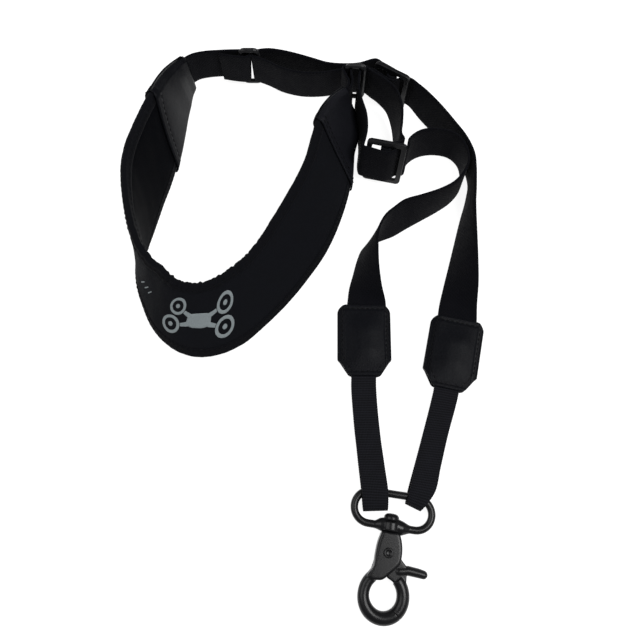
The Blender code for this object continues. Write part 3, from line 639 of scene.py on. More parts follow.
def make_pad():
    """The padded part with its two cloths and core in one: a closed form with pinched long edges."""
    along = np.linspace(PAD_INSET, PAD_LENGTH - PAD_INSET, 340)[:, None]
    bend = np.linspace(0, math.pi, 9)[1:-1]
    count = 44
    flat = np.linspace(0.012, 0.988, count)
    across = np.concatenate([flat, 0.988 + 0.012 * np.sin(bend), flat[::-1], 0.012 - 0.012 * np.sin(bend)])
    sign = np.concatenate([np.ones(count), np.cos(bend), -np.ones(count), -np.cos(bend)])
    across, sign = across[None, :], sign[None, :]
    off = sign * pad_half(along, across) + pad_folds(along, across)
    grid = pad_at(along, across, off)
    uv = np.stack(np.broadcast_arrays(along, across * PAD_TALL + 60.0 * (sign < 0)), axis=2)
    made = surface("pad", grid, uv, KNIT, wrap=True, capped=True)
    made.data.materials.append(LINING)
    first, last = count + len(bend), 2 * count + len(bend)
    for face in made.data.polygons:
        columns = [corner % across.shape[1] for corner in face.vertices]
        face.material_index = int(len(columns) == 4 and min(columns) >= first and max(columns) <= last)
    put(made, "root", ("pad_core", "pad_face", "pad_lining"))


def make_binding(name, side, amount, seed):
    """A tape folded over a long edge of the pad, gathered into puckers by its stitches."""
    under_cap = 6.0
    ends = (CAP_SEAMS["left"][side] - under_cap, PAD_LENGTH - CAP_SEAMS["right"][side] + under_cap)
    along = np.arange(ends[0], ends[1], 0.6)[:, None]
    bend = pad_bend(along)
    wave = wander(along, seed, (6.7, 10.9, 4.9, 16.0)) * (0.1 + 0.9 * bend)
    bend = np.linspace(-math.pi / 2, math.pi / 2, 11)
    deep = np.array([4.6, 3.6, 2.4, 1.0])
    past = np.concatenate([-deep, 1.1 * np.cos(bend), -deep[::-1]])
    turn = np.concatenate([-np.ones(4), np.sin(bend), np.ones(4)])
    loops = []
    for grow in (0.4, 0.05):
        reach = past + grow * np.concatenate([np.zeros(4), np.cos(bend), np.zeros(4)])
        across = (1 + reach / PAD_TALL if side else -reach / PAD_TALL)[None, :] + 0 * along
        push = amount * wave * np.exp(-(np.minimum(0, reach) / 5.0) ** 2)[None, :] / PAD_TALL
        across = across + (push if side else -push)
        inside = np.clip(across, 0.0, 1.0)
        thick = pad_half(along, inside) + grow * (0.9 + 0.15 * np.sin(2 * np.pi * along / 3.3))
        off = turn[None, :] * thick + pad_folds(along, inside)
        loops.append((across, off))
    across = np.concatenate([loops[0][0], loops[1][0][:, ::-1]], axis=1)
    off = np.concatenate([loops[0][1], loops[1][1][:, ::-1]], axis=1)
    grid = pad_at(along, across, off)
    uv = np.stack(np.broadcast_arrays(along, np.concatenate([past, past[::-1] + 20])[None, :]), axis=2)
    made = surface(name, grid, uv, TAPE, wrap=True, capped=True)
    put(made, "root", (name,))
    for face, sign in (("face", 1), ("lining", -1)):
        far = np.arange(ends[0] + 8, ends[1] - 8, 0.7)
        share = (1 - 2.9 / PAD_TALL if side else 2.9 / PAD_TALL) + 0 * far
        base = pad_half(far, share) + 0.5
        line = pad_at(far, share, sign * base + pad_folds(far, share))
        out = pad_at(far, share, sign * (base + 1) + pad_folds(far, share)) - line
        row = stitches(f"{name}_stitches_{face}", line, out, 2.4, 0.9, 0.2, lift=0.0)
        put(row, "root")


def printed(name, outline, inner=None):
    """A flat printed shape on the pad's outer face, about the print's middle; inner makes it a ring."""
    if inner is None:
        loops = [np.array([np.mean(outline, axis=0)] * len(outline)), np.asarray(outline)]
    else:
        loops = [np.asarray(inner), np.asarray(outline)]
    shares = np.linspace(0, 1, 7)[:, None, None]
    flat = loops[0][None] + (loops[1] - loops[0])[None] * shares
    along = PRINT_MIDDLE[0] + flat[..., 0]
    across = PRINT_MIDDLE[1] + flat[..., 1] / PAD_TALL
    face = pad_half(along, across) + pad_folds(along, across)
    top, bottom = (pad_at(along, across, face + lift) for lift in (0.16, 0.02))
    grid = np.concatenate([top, bottom[::-1]], axis=0)
    up = PAD_TALL * np.concatenate([across, across[::-1]])
    uv = np.stack([np.concatenate([along, along[::-1]]), up], axis=2)
    made = surface(name, grid, uv, INK, wrap=True)
    with edited(made.data) as build:
        if inner is not None:
            count, last = len(outline), len(build.verts) - len(outline)
            build.verts.ensure_lookup_table()
            for k in range(count):
                after = (k + 1) % count
                corners = (after, k, last + k, last + after)
                build.faces.new([build.verts[i] for i in corners])
        bmesh.ops.remove_doubles(build, verts=build.verts, dist=MERGE)
    return put(made, "root")


def circle(centre, radius, count=40):
    """Points on a circle."""
    return [(centre[0] + radius * math.cos(t), centre[1] + radius * math.sin(t))
            for t in np.linspace(0, 2 * math.pi, count, endpoint=False)]


def bar_outline(start, end, half, half_end=None):
    """A straight bar from start to end as a closed outline with many points along its sides."""
    start, end = np.array(start, float), np.array(end, float)
    way = unit(end - start)
    side = np.array([-way[1], way[0]])
    shares = np.linspace(0, 1, 10)[:, None]
    middle = start + (end - start) * shares
    halves = half + ((half_end or half) - half) * shares
    return list(middle + side * halves) + list((middle - side * halves)[::-1])


def make_print():
    """A plain picture of a small four-rotor aircraft from above, and three short plain bars beside it."""
    far, up = 19.5, 7.6
    for k, (x, y) in enumerate(((-far, up), (far, up), (far, -up), (-far, -up))):
        printed(f"print_rotor_{k}", circle((x, y), 6.9), circle((x, y), 4.7))
        printed(f"print_motor_{k}", circle((x, y), 1.7))
        way = unit(np.array([x, y], float))
        printed(f"print_arm_{k}", bar_outline(way * 7.6, np.array([x, y]) - way * 7.2, 1.7, 1.2))
    body = circle((0.0, 0.0), 1.0, 48)
    powers = [(math.copysign(abs(x) ** 0.6, x), math.copysign(abs(y) ** 0.6, y)) for x, y in body]
    printed("print_body", [(9.0 * x, 5.0 * y) for x, y in powers])
    for k in range(3):
        x = -58.0 + 4.6 * k
        printed(f"print_bar_{k}", bar_outline((x, -5.6), (x + 1.6, -0.6), 0.42))


def cap_off(reach):
    """How far a cap's panel is from the pad's middle: less over the tab than over the pad."""
    over_pad = CORE_THICK / 2 + 2 * GAP + CLOTH_THICK + CAP_THICK / 2
    over_tab = STRAP_THICK + 1.5 * GAP + CAP_THICK / 2 + 0.1
    return over_tab + (over_pad - over_tab) * np.clip((reach - TAB_START + 8.0) / 10.0, 0.0, 1.0)


def to_edge(across):
    """The part of the height from the nearer long edge of a cap, which reaches a little past the pad's."""
    return np.minimum(across + CAP_PAST, 1 + CAP_PAST - across)


def make_caps():
    """Leather panels over each end of the pad, sewn together round its edges; the oblique edge is hemmed."""
    for side, (at_floor, at_top) in CAP_SEAMS.items():
        across = np.linspace(-CAP_PAST, 1 + CAP_PAST, CAP_COLUMNS)[None, :]
        seam = at_floor + (at_top - at_floor) * across
        share = np.concatenate([np.linspace(0, 0.9, 40), np.linspace(0.9, 1.0, 14)[1:]])[:, None]
        reach = CAP_END + (seam - CAP_END) * share
        along = reach if side == "left" else PAD_LENGTH - reach
        from_seam = (seam - CAP_END) * (1 - share)
        close = np.clip(to_edge(across) / 0.1, 0.0, 1.0)
        for face, sign in (("outer", 1), ("inner", -1)):
            node = f"{side}_cap_{face}"
            off = cap_off(reach) * (0.18 + 0.82 * np.sin(close * math.pi / 2))
            hem = 0.45 * ease((4.6 - from_seam) / 1.2)
            puff = 0.5 * np.sin(np.pi * np.clip(across, 0, 1)) * ease(from_seam / 9) * ease((reach - 3) / 12)
            crease = 0.06 * wander(reach * 0.6 + 30 * across, 4 + sign, (37.0, 53.0)) * ease(reach / 14)
            ends_in = ease((reach - CAP_END) / 1.2)
            middle = off + puff + crease * close
            if node == "right_cap_outer":
                flare = 3.2 * ease((reach + 2) / 6) * ease((36 - reach) / 16)
                middle = middle + flare * np.clip(1 - across, 0, None) ** 1.5
            skins = []
            for half in (1.0, -1.0):
                skin = half * (CAP_THICK / 2 * (0.55 + 0.45 * ends_in) + (hem if half > 0 else 0))
                skins.append(sign * (middle + skin))
            top, bottom = (pad_at(along, across, s) for s in skins)
            past = 0.5 if side == "left" else -0.5
            edge = pad_at(along[-1:] + past, across, (skins[0] + skins[1])[-1:] / 2)
            grid = np.concatenate([top, edge, bottom[::-1]], axis=0)
            uv_u = np.concatenate([reach, reach[-1:] + 1, reach[::-1] + 2], axis=0)
            uv = np.stack(np.broadcast_arrays(uv_u, across * PAD_TALL), axis=2)
            # The right cap's outer panel gets the lighter leather copy: painted light, not a different
            # leather.
            finish = LIT_LEATHER if node == "right_cap_outer" else LEATHER
            made = close_shell(surface(node, grid, uv, finish))
            put(made, "root", (node,))
            if side == "left" and face == "inner":
                rows = np.linspace(-0.02, 1.01, 70)
                at_seam = at_floor + (at_top - at_floor) * rows
                full = 0.3 + 0.7 * np.sin(np.clip(to_edge(rows) / 0.1, 0, 1) * math.pi / 2)
                line = pad_at(at_seam + 0.35, rows, sign * (cap_off(at_seam) + 0.25) * full)
                cord = rod("left_cap_piping", line, 0.62, LEATHER, sides=14)
                put(cord, "root", ())
            for k, inside in enumerate((4.9, 1.5) if face == "outer" else (4.9,)):
                rows = np.linspace(-0.03, 1.03, 60)
                spot = at_floor + (at_top - at_floor) * rows - inside
                columns = np.round(np.interp(rows, across[0], range(CAP_COLUMNS))).astype(int)
                skin = sign * skins[0]
                top_off = np.array([np.interp(s, reach[:, j], skin[:, j]) for s, j in zip(spot, columns)])
                place = spot if side == "left" else PAD_LENGTH - spot
                line = pad_at(place, rows, sign * top_off)
                out = pad_at(place, rows, sign * (top_off + 1)) - line
                row = stitches(f"{node}_stitches_{k}", line, out, 2.6, 1.0, 0.24)
                put(row, "root")


def close_shell(made):
    """Closes a folded sheet's open rim by filling its border, so that it is one solid skin."""
    with edited(made.data) as build:
        bmesh.ops.remove_doubles(build, verts=build.verts, dist=MERGE)
        rim = [e for e in build.edges if e.is_boundary]
        bmesh.ops.holes_fill(build, edges=rim, sides=0)
        caps = [f for f in build.faces if len(f.verts) > 4]
        bmesh.ops.triangulate(build, faces=caps)
    return made


# ---------------------------------------------------------------- rings, sliders and tabs
LEFT_RING = {"centre": (-47.8, 287.6), "turn": 0.0, "base": 0.2, "loose": 1.4}
RIGHT_RING = {"centre": (23.4, 270.2), "turn": -5.0, "base": 6.0, "loose": 0.0}
LEFT_SLIDER = {"centre": (47.4, 270.2), "turn": -31.0, "lean": 2.0}
RIGHT_SLIDER = {"centre": (41.0, 208.0), "turn": -12.0, "lean": 16.0}

BAR_TO_BAR = RING_ACROSS - 2 * RING_ROD
WRAP = RING_ROD + GAP + STRAP_THICK / 2
FOLDED_BACK_FROM = {"left": 5, "right": 0}
TAB_WAYS = {
    "left": ((-85.3, 285.6, 0.95), (-78.0, 287.6, 1.0), (-68.0, 288.4, 1.3), (-59.6, 288.0, 2.3)),
    "right": ((20.2, 263.0, 1.2), (18.6, 266.6, 1.9)),
}


def ring_bar(ring, side, inwards=0.0):
    """Where a ring's upright bar stands (side -1 is the pad's, +1 the strap's), or a place inwards of it."""
    turn = math.radians(ring["turn"])
    reach = side * (BAR_TO_BAR / 2 - inwards)
    return (ring["centre"][0] + reach * math.cos(turn), ring["centre"][1] + reach * math.sin(turn))


def slider_place(slider):
    """The slider's own axes: u along the strap, w out of its front, v up its bars from the table."""
    turn, lean = math.radians(slider["turn"]), math.radians(slider["lean"])
    along = np.array([math.cos(turn), math.sin(turn), 0.0])
    up = np.array([-math.sin(turn) * math.sin(lean), math.cos(turn) * math.sin(lean), math.cos(lean)])
    front = np.cross(along, up)
    base = np.array([*slider["centre"], 0.2 + SLIDER_THICK / 2 * math.sin(lean)])
    return lambda u, w, v: base + u * along + w * front + v * up


def through(slider, spots):
    """Stations of webbing at the given places in a slider, between the ends of its slots."""
    place = slider_place(slider)
    low = (SLIDER_LONG - STRAP_WIDTH) / 2
    return [(*place(u, w, low), *place(u, w, low + STRAP_WIDTH)) for u, w in spots]


def finish_tab(side, stations):
    made = band(f"{side}_tab", stations, STRAP_THICK, WEBBING, 0.8)
    put(made, "root", (f"{side}_tab",))


def make_tabs():
    """A folded webbing, sewn in between the cap's panels, with its fold round the ring's bar."""
    for side, ring in (("left", LEFT_RING), ("right", RIGHT_RING)):
        way = TAB_WAYS[side]
        low, ring_low = 5.0, ring["base"] + 4.0
        bar = ring_bar(ring, -1)
        layers = []
        for sign in (1, -1):
            layer = []
            for reach in (TAB_START, 9.0, 1.5):
                along = reach if side == "left" else PAD_LENGTH - reach
                edges = pad_at(along, 0.0, 0.0), pad_at(along, 1.0, 0.0)
                half = STRAP_WIDTH / 2 / np.linalg.norm(edges[1] - edges[0])
                off = 0.95 * sign * (1 if side == "left" else -1)
                layer.append((*pad_at(along, 0.5 - half, off), *pad_at(along, 0.5 + half, off)))
            for k, (x, y, spread) in enumerate(way):
                before = way[k - 1] if k else layer[-1]
                after = way[k + 1] if k + 1 < len(way) else bar
                turn = math.atan2(after[1] - before[1], after[0] - before[0]) + sign * math.pi / 2
                lift = low + (ring_low - low) * (k + 1) / len(way)
                x, y = x + spread * math.cos(turn), y + spread * math.sin(turn)
                layer.append(upright(x, y, lift, STRAP_WIDTH))
            layers.append(layer)
        facing = math.degrees(math.atan2(bar[1] - way[-1][1], bar[0] - way[-1][0]))
        bend = arc(ring_bar(ring, -1, ring["loose"]), WRAP, facing + 90, facing - 90, 7)
        lean = TAB_LEAN / WRAP if side == "left" else 0.0
        fold = [upright(x, y, ring_low, STRAP_WIDTH, lean * (x - bar[0])) for x, y in bend]
        folded_back = layers[1][FOLDED_BACK_FROM[side]:]
        finish_tab(side, layers[0] + fold + folded_back[::-1])


def dress_plastic():
    """The rings and sliders keep their own shapes and get their finish."""
    for node in ("left_ring", "right_ring", "left_slider", "right_slider"):
        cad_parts[node].data.materials[0] = PLASTIC


# ---------------------------------------------------------------- the two long straps
def make_strap(side, stations):
    made = band(f"{side}_strap", stations, STRAP_THICK, WEBBING, 0.8, ribs=0.05, rib_pitch=1.1)
    put(made, "root", (f"{side}_strap",))


SEWN_TURN = ((2.3, -1.5), (2.8, 0.0), (2.0, 2.0), (0.0, 2.8), (-2.0, 2.0), (-2.8, 0.0), (-2.4, -2.0))
PASSING = (
    (-12.5, 3.2), (-8.0, 3.7), (-3.0, 4.5), (0.0, 4.75), (3.0, 3.9),
    (5.4, 1.6), (7.0, -1.0), (8.6, -2.7), (11.0, -3.1),
)


def mirrored(spots):
    """The same places, from the other end of the slider."""
    return [(-u, w) for u, w in spots]


def make_left_strap():
    """From its sewn end at the slider round the left ring, back through the slider, to its patch."""
    stations = through(LEFT_SLIDER, mirrored(SEWN_TURN))
    stations += through(LEFT_SLIDER, ((0.8, -3.7), (-4.0, -4.4), (-10.0, -4.7), (-15.0, -5.0)))
    stations += standing((
        (26, 280.6, 3.0), (14, 281.8, 1), (4.7, 283.4, FLOOR_LIFT), (-6.8, 287.4, FLOOR_LIFT),
        (-18.0, 290.8, 0.8), (-27.5, 292.4, 1.8), (-35.4, 292.2, 3.2),
    ))
    turn = arc(ring_bar(LEFT_RING, 1, LEFT_RING["loose"]), WRAP, 85, 275, 7)
    stations += standing((x, y, 4.2) for x, y in turn)
    stations += standing((
        (-34.9, 282.2, 3.0), (-26.4, 278.9, 1.2), (-13, 275.8, FLOOR_LIFT), (0, 275.6, FLOOR_LIFT),
        (12, 276.8, 1.2), (21, 277.6, 2.4), (29.5, 276.4, 3.4),
    ))
    stations += through(LEFT_SLIDER, PASSING)
    stations += through(LEFT_SLIDER, ((14.0, -3.2), (17.0, -2.4)))
    stations += standing((
        (69.4, 256.4, 1.8, 1, 4), (77.6, 246.6, 0.8, 1.5, 4), (86.6, 236, FLOOR_LIFT, 1, 2),
        (94.6, 225.4, FLOOR_LIFT, 0.5, 0), (99.0, 213.5, FLOOR_LIFT, 0, 0), (100.4, 203, FLOOR_LIFT, -1.2, 0),
        (98.6, 194, FLOOR_LIFT, 0, 0),
    ))
    stations += [
        (96.6, 187, 0.5, 98.0, 187, 25.4),
        (94.2, 180, 0.6, 97.2, 180, 25.4),
        (91.8, 172.5, 0.8, 96.8, 172.5, 25.3),
        (87.5, 158, 1.0, 96.6, 158, 24.3),
        (83.0, 143, 1.2, 96.7, 143, 22.1),
        (78.6, 129, 1.8, 97.0, 127.5, 17.5),
        (75.2, 118, 3.2, 97.6, 115.5, 8.0),
        (73.6, 110.5, 3.9, 97.8, 107.8, 4.2),
        (72.4, 103.5, 3.95, 96.9, 99.8, 3.95),
        (70.4, 91.6, 3.95, 94.9, 87.6, 3.95),
    ]
    make_strap("left", stations)


def make_right_strap():
    """From its sewn end at the slider round the right ring, back through the slider, to its patch."""
    stations = through(RIGHT_SLIDER, SEWN_TURN)
    stations += through(RIGHT_SLIDER, ((-0.6, -4.2), (3.2, -5.6), (7.4, -7.4), (9.8, -10.8)))
    stations += standing((
        (51.8, 226, 1.5, 0.8, 2.0), (51.0, 236, 2, 2.5, 0), (49.8, 247, 3.5, 4, 0), (46.4, 258, 5.5, 4, 0),
        (40.4, 264.6, 7.5, 2.5, 0), (35.0, 267.8, 9.5, 1, 0),
    ))
    turn = arc(ring_bar(RIGHT_RING, 1), WRAP, 30, 190, 7)
    stations += standing((x, y, RIGHT_RING["base"] + 4.0) for x, y in turn)
    stations += standing((
        (24.8, 262, 8.5, 0.5, 0.5), (24.8, 252, 5.5, 2, 0.5), (26.2, 241, 3, 4, 0.5),
        (26.8, 229, 1.8, 3.6, 0.5), (25.8, 218, 1.2, 1.8, 0.5),
    ))
    stations += through(RIGHT_SLIDER, ((-15.6, 0.6), (-14.6, 2.6)))
    stations += through(RIGHT_SLIDER, PASSING)
    stations += through(RIGHT_SLIDER, ((13.6, -4.6),))
    stations += standing((
        (58.0, 218.6, 1.8, 0, 5), (66, 225.4, 0.8, 0, 5), (77, 227.8, FLOOR_LIFT, 0, 4),
        (88, 225.4, FLOOR_LIFT, 0, 3), (94.2, 218.4, FLOOR_LIFT, 0, 1), (95.4, 209, FLOOR_LIFT, 0, 0),
        (93.0, 199.5, FLOOR_LIFT, -1, 1), (86.5, 191, FLOOR_LIFT, -1, 2), (77, 184, FLOOR_LIFT, -0.5, 4),
        (66, 177.4, FLOOR_LIFT, -0.5, 7), (56, 171.4, FLOOR_LIFT, -2, 10),
    ))
    stations += [
        (47.5, 166, 0.8, 47.5, 176.5, 23.5),
        (40.0, 163, 1.0, 41.5, 170.5, 24.8),
        (33.0, 160, 1.0, 37.6, 163.5, 25.3),
        (27.8, 156, 1.0, 35.8, 157, 24.7),
        (24.6, 149, 1.2, 35.5, 149, 23.7),
        (21.4, 138, 1.4, 36.0, 138, 20.8),
        (18.6, 128.6, 2.2, 38.2, 127.5, 13.6),
        (17.4, 120.6, 3.7, 41.2, 119.0, 5.4),
        (16.4, 111.6, 3.95, 40.9, 109.0, 3.95),
        (14.8, 98.4, 3.95, 39.2, 95.5, 3.95),
    ]
    make_strap("right", stations)


# ---------------------------------------------------------------- patches and narrow loops
PATCHES = {
    "right": {"centre": (27.4, 94.6), "turn": -0.5},
    "left": {"centre": (81.8, 86.0), "turn": -12.5},
}
# Each loop's left and right edges from inside its patch down to its fold, inside the oval ring.
LOOP_EDGES = {
    "right": ((20.0, 91, 35.0, 90), (19.0, 71, 34.0, 71), (19.2, 55, 34.2, 55), (20.4, 39, 35.4, 39),
              (22.4, 20, 37.3, 20), (23.7, 6, 38.6, 5.0), (24.4, -4.6, 38.4, -4.2)),
    "left": ((71.6, 83, 86.2, 80.4), (68.9, 65, 83.4, 62), (65.4, 52, 80.0, 50), (60.8, 38, 75.4, 36.4),
             (55.4, 20, 69.8, 18.4), (50.6, 5.4, 64.0, 2.4), (49.0, -0.6, 57.6, -4.8)),
}
PATCH_FLOOR = 0.2 + PATCH_THICK / 2
PATCH_RISE = 5.5


def patch_half_width(y):
    """Half the width of a patch at a height: round upper corners, cut and rounded lower ones."""
    from_top, from_bottom = PATCH_HALF_HEIGHT - y, PATCH_HALF_HEIGHT + y
    if from_top < PATCH_CORNER:
        reach = math.sqrt(max(0.0, PATCH_CORNER ** 2 - (PATCH_CORNER - from_top) ** 2))
        return PATCH_HALF_WIDTH - PATCH_CORNER + reach
    cut = max(0.0, PATCH_CUT - from_bottom)
    past = max(0.0, PATCH_CUT_ROUND - from_bottom)
    rounded = PATCH_CUT_ROUND - math.sqrt(max(0.0, PATCH_CUT_ROUND ** 2 - past ** 2))
    return PATCH_HALF_WIDTH - PATCH_CUT_SLOPE * cut * float(ease(cut / 2.2)) - rounded


def patch_outline(inset):
    """The patch's outline inset by a distance, as points running clockwise from its upper left."""
    wide, tall = PATCH_HALF_WIDTH - inset, PATCH_HALF_HEIGHT - inset
    corner = max(0.6, PATCH_CORNER - inset)
    cut_x, cut_y = 7.2, 10.6
    points = arc((-wide + corner, tall - corner), corner, 180, 90, 7)
    points += arc((wide - corner, tall - corner), corner, 90, 0, 7)
    points += [(wide, -tall + cut_y - 0.35 * inset), (wide - cut_x + 0.3 * inset, -tall)]
    points += [(-wide + cut_x - 0.3 * inset, -tall), (-wide, -tall + cut_y - 0.35 * inset)]
    return points


def patch_height(x, y):
    """How far the front panel is above the back one: low at its sewn rim, high over the webbing."""
    side = ease((PATCH_HALF_WIDTH - np.abs(x) - GAP) / 4.4)
    over_webbing = side * (PATCH_RISE - 0.8 - PATCH_THICK - GAP)
    from_side, from_end = PATCH_HALF_WIDTH - np.abs(x), PATCH_HALF_HEIGHT - np.abs(y)
    crown = 1.5 * ease((from_side - 2.8) / 12) * ease((from_end - 3.0) / 15)
    inside = np.minimum(from_side, from_end)
    groove = -0.28 * np.exp(-((inside - 3.0) / 0.75) ** 2)
    dent = 0.07 * wander(x + 0.7 * y, 6, (25.0, 14.0)) * ease(inside / 6)
    return PATCH_THICK + GAP + over_webbing + crown + groove + dent


def make_patches():
    """Two leather panels sewn together round each strap's lower end."""
    for side, patch in PATCHES.items():
        turn = math.radians(patch["turn"])
        cos, sin = math.cos(turn), math.sin(turn)
        ways = np.array([[cos, sin, 0], [-sin, cos, 0], [0, 0, 1]])
        base = np.array([*patch["centre"], PATCH_FLOOR])
        ends = np.linspace(PATCH_HALF_HEIGHT, 17.6, 16), np.linspace(-14.1, -PATCH_HALF_HEIGHT, 16)
        ys = np.concatenate([ends[0], np.linspace(17.0, -13.6, 40), ends[1]])
        for face in ("front", "back"):
            node = f"{side}_patch_{face}"
            half = np.array([patch_half_width(y) for y in ys])[:, None]
            edge = 1 - (1 - np.linspace(0, 1, 12)) ** 1.6
            inner = np.linspace(-0.78, 0.78, 26)[1:-1]
            xs = np.concatenate([-1 + 0.22 * edge, inner, (1 - 0.22 * edge)[::-1]])
            x, y = half * xs[None, :], ys[:, None] + 0 * xs[None, :]
            z = patch_height(x, y) if face == "front" else 0 * x
            inside = np.minimum(half - np.abs(x), PATCH_HALF_HEIGHT - np.abs(y))
            round_off = 0.42 * (1 - np.clip(inside / 0.55, 0, 1)) ** 2
            skins = [np.stack([x, y, z + s * (PATCH_THICK / 2 - round_off)], axis=2) for s in (1, -1)]
            whole = [base + skin @ ways for skin in skins]
            made = two_skins(node, whole, np.stack([x, y], axis=2))
            put(made, "root", (node,))
        flat = closed_line(patch_outline(2.7), 0.6)
        z = patch_height(flat[:, 0], flat[:, 1]) + PATCH_THICK / 2
        line = base + np.column_stack([flat, z]) @ ways
        up = np.tile([0, 0, 1.0], (len(line), 1))
        row = stitches(f"{side}_patch_stitches", line, up, 2.3, 0.8, 0.25)
        put(row, "root")


def closed_line(points, step):
    """Points a step apart round a closed line."""
    points = np.vstack([points, points[:1]]).astype(float)
    far = along_line(points)
    places = np.arange(0, far[-1], step)
    return np.stack([np.interp(places, far, points[:, k]) for k in (0, 1)], axis=1)


def two_skins(name, skins, uv):
    """A closed plate from an upper and a lower grid, joined round their rims."""
    rows, columns = skins[0].shape[:2]
    index = np.arange(rows * columns).reshape(rows, columns)
    rim = np.concatenate([index[0, :-1], index[:-1, -1], index[-1, :0:-1], index[:0:-1, 0]])
    points = np.concatenate([skins[0].reshape(-1, 3), skins[1].reshape(-1, 3)])
    offset = rows * columns
    faces = []
    for base, flip in ((0, False), (offset, True)):
        corners = (index[:-1, :-1], index[:-1, 1:], index[1:, 1:], index[1:, :-1])
        quads = np.stack([c.ravel() + base for c in corners], axis=1)
        faces += [tuple(int(i) for i in (q[::-1] if flip else q)) for q in quads]
    for one, two in zip(rim, np.roll(rim, -1)):
        faces.append((int(two), int(one), int(one + offset), int(two + offset)))
    return solid(name, points, faces, LEATHER, np.concatenate([uv.reshape(-1, 2)] * 2))


def finish_loop(side, stations):
    made = band(f"{side}_loop", stations, LOOP_THICK, RIBBED, 0.2, ribs=0.16)
    put(made, "root", (f"{side}_loop",))


def make_loops():
    """Each narrow webbing goes down over the oval ring's bar, folds and comes back under it."""
    over = HOOK_PLANE + OVAL_ROD + GAP + LOOP_THICK / 2 + 0.2
    for side, edges in LOOP_EDGES.items():
        line = smooth(edges, 3.0)
        middle = (line[:, :2] + line[:, 2:]) / 2
        far = along_line(middle)
        end = far[-1]
        top = ((0.0, 4.1), (18.0, 4.1), (27.0, 3.4), (end - 44.0, 3.2), (end - 24.0, 5.2),
               (end - 10.0, over), (end - 2.4, over - 0.2), (end - 0.2, over - 1.5), (end + 0.7, 4.6))
        bottom = ((end, 2.5), (end - 1.6, 1.35), (end - 9.0, 1.2), (end - 30.0, 1.2),
                  (27.0, 1.2), (18.0, 2.4), (0.0, 2.4))
        onwards = unit(middle[-1] - middle[-2])
        stations = []
        for along, z in top + bottom:
            spot = [np.interp(along, far, line[:, k]) for k in range(4)]
            past = max(0.0, along - end) * onwards
            left, right = spot[:2] + past, spot[2:] + past
            stations.append((*left, z, *right, z))
        finish_loop(side, stations)


# ---------------------------------------------------------------- swivel ring and trigger hook
def hook_place(u, v, n=0.0):
    """A place on the hook: u to its right, v up its axis from the eye, n up from its plane."""
    turn = math.radians(HOOK_TURN)
    return (EYE_CENTRE[0] + u * math.cos(turn) - v * math.sin(turn),
            EYE_CENTRE[1] + u * math.sin(turn) + v * math.cos(turn), HOOK_PLANE + n)


def on_hook(points):
    """Places on the hook as points of the layout."""
    return np.array([hook_place(*p) for p in points])


def eye_arc(start, end, count):
    """Points on the eye's oval, in degrees round its centre; it is longer above than below."""
    points = []
    for t in np.radians(np.linspace(start, end, count)):
        tall = EYE_ALONG if t % (2 * math.pi) < math.pi else EYE_BELOW
        points.append((EYE_ACROSS * math.cos(t), tall * math.sin(t), 0))
    return on_hook(points)


def outline_curve(points):
    """A smooth closed outline through the given corners."""
    closed = [points[-1], *points, points[0], points[1]]
    rows = smooth([(x, y, 0.0, x, y, 1.0) for x, y in closed], 0.7)[:, :2]
    first = int(np.argmin(np.linalg.norm(rows - np.array(points[0]), axis=1)))
    ends = [k for k in range(first + 5, len(rows)) if np.linalg.norm(rows[k] - rows[first]) < 1e-6]
    return rows[first:ends[0]] if ends else rows[first:-1]


def hook_plate(name, outline, thick, rounding):
    """A plate in the hook's plane with rounded rims."""
    bevels = np.linspace(0, math.pi / 2, 6)
    outline = np.asarray(outline)
    normal = unit(np.column_stack([np.gradient(outline[:, 1]), -np.gradient(outline[:, 0])]))
    spin = np.sum(outline[:, 0] * np.roll(outline[:, 1], -1) - np.roll(outline[:, 0], -1) * outline[:, 1])
    normal = normal * (1 if spin > 0 else -1)
    flat = thick / 2 - rounding
    rows = [(rounding * (1 - math.cos(b)), flat + rounding * math.sin(b)) for b in bevels[::-1]]
    rows += [(i, -h) for i, h in rows[::-1]]
    grid = np.array([[hook_place(*(p - n * i), h) for p, n in zip(outline, normal)] for i, h in rows])
    return surface(name, grid, np.zeros((*grid.shape[:2], 2)), METAL, wrap=True, capped=True)


def lathe(name, profile, centre, axis):
    """Turned about a line on the hook: profile is (distance along it, radius) from one end to the other."""
    u, v = centre
    rows = []
    for far, radius in profile:
        ring = circle((0.0, 0.0), radius)
        if axis == "v":
            rows.append([hook_place(u + a, v + far, b) for a, b in ring])
        else:
            rows.append([hook_place(u + a, v + b, far) for a, b in ring])
    grid = np.array(rows)
    return surface(name, grid, np.zeros((*grid.shape[:2], 2)), METAL, wrap=True, capped=True)


def melt(target, others, voxel=0.28, rounds=6):
    """Melts overlapping shapes into one casting, with small fillets where they meet."""
    build = bmesh.new()
    for shape in (target, *others):
        build.from_mesh(shape.data)
    build.to_mesh(target.data)
    build.free()
    for shape in others:
        bpy.data.objects.remove(shape, do_unlink=True)
    skin = target.modifiers.new("skin", "REMESH")
    skin.mode = "VOXEL"
    skin.voxel_size = voxel * MM
    skin.use_smooth_shade = True
    even = target.modifiers.new("even", "SMOOTH")
    even.factor = 0.5
    even.iterations = rounds
    bake(target)


def bake(target):
    """Applies a piece's modifiers."""
    bpy.context.view_layer.update()
    changed = target.evaluated_get(bpy.context.evaluated_depsgraph_get())
    made = bpy.data.meshes.new_from_object(changed)
    target.modifiers.clear()
    finish = target.data.materials[0]
    target.data = made
    made.materials.clear()
    made.materials.append(finish)
    made.polygons.foreach_set("use_smooth", np.ones(len(made.polygons), bool))


def carve(target, tool):
    """Cuts a shape out of a casting, which keeps its sharp edges there."""
    step = target.modifiers.new("carve", "BOOLEAN")
    step.operation = "DIFFERENCE"
    step.solver = "EXACT"
    step.object = tool
    bake(target)
    bpy.data.objects.remove(tool, do_unlink=True)
    sharp = target.modifiers.new("sharp", "WEIGHTED_NORMAL")
    sharp.keep_sharp = True
    target.data.set_sharp_from_angle(angle=math.radians(42))


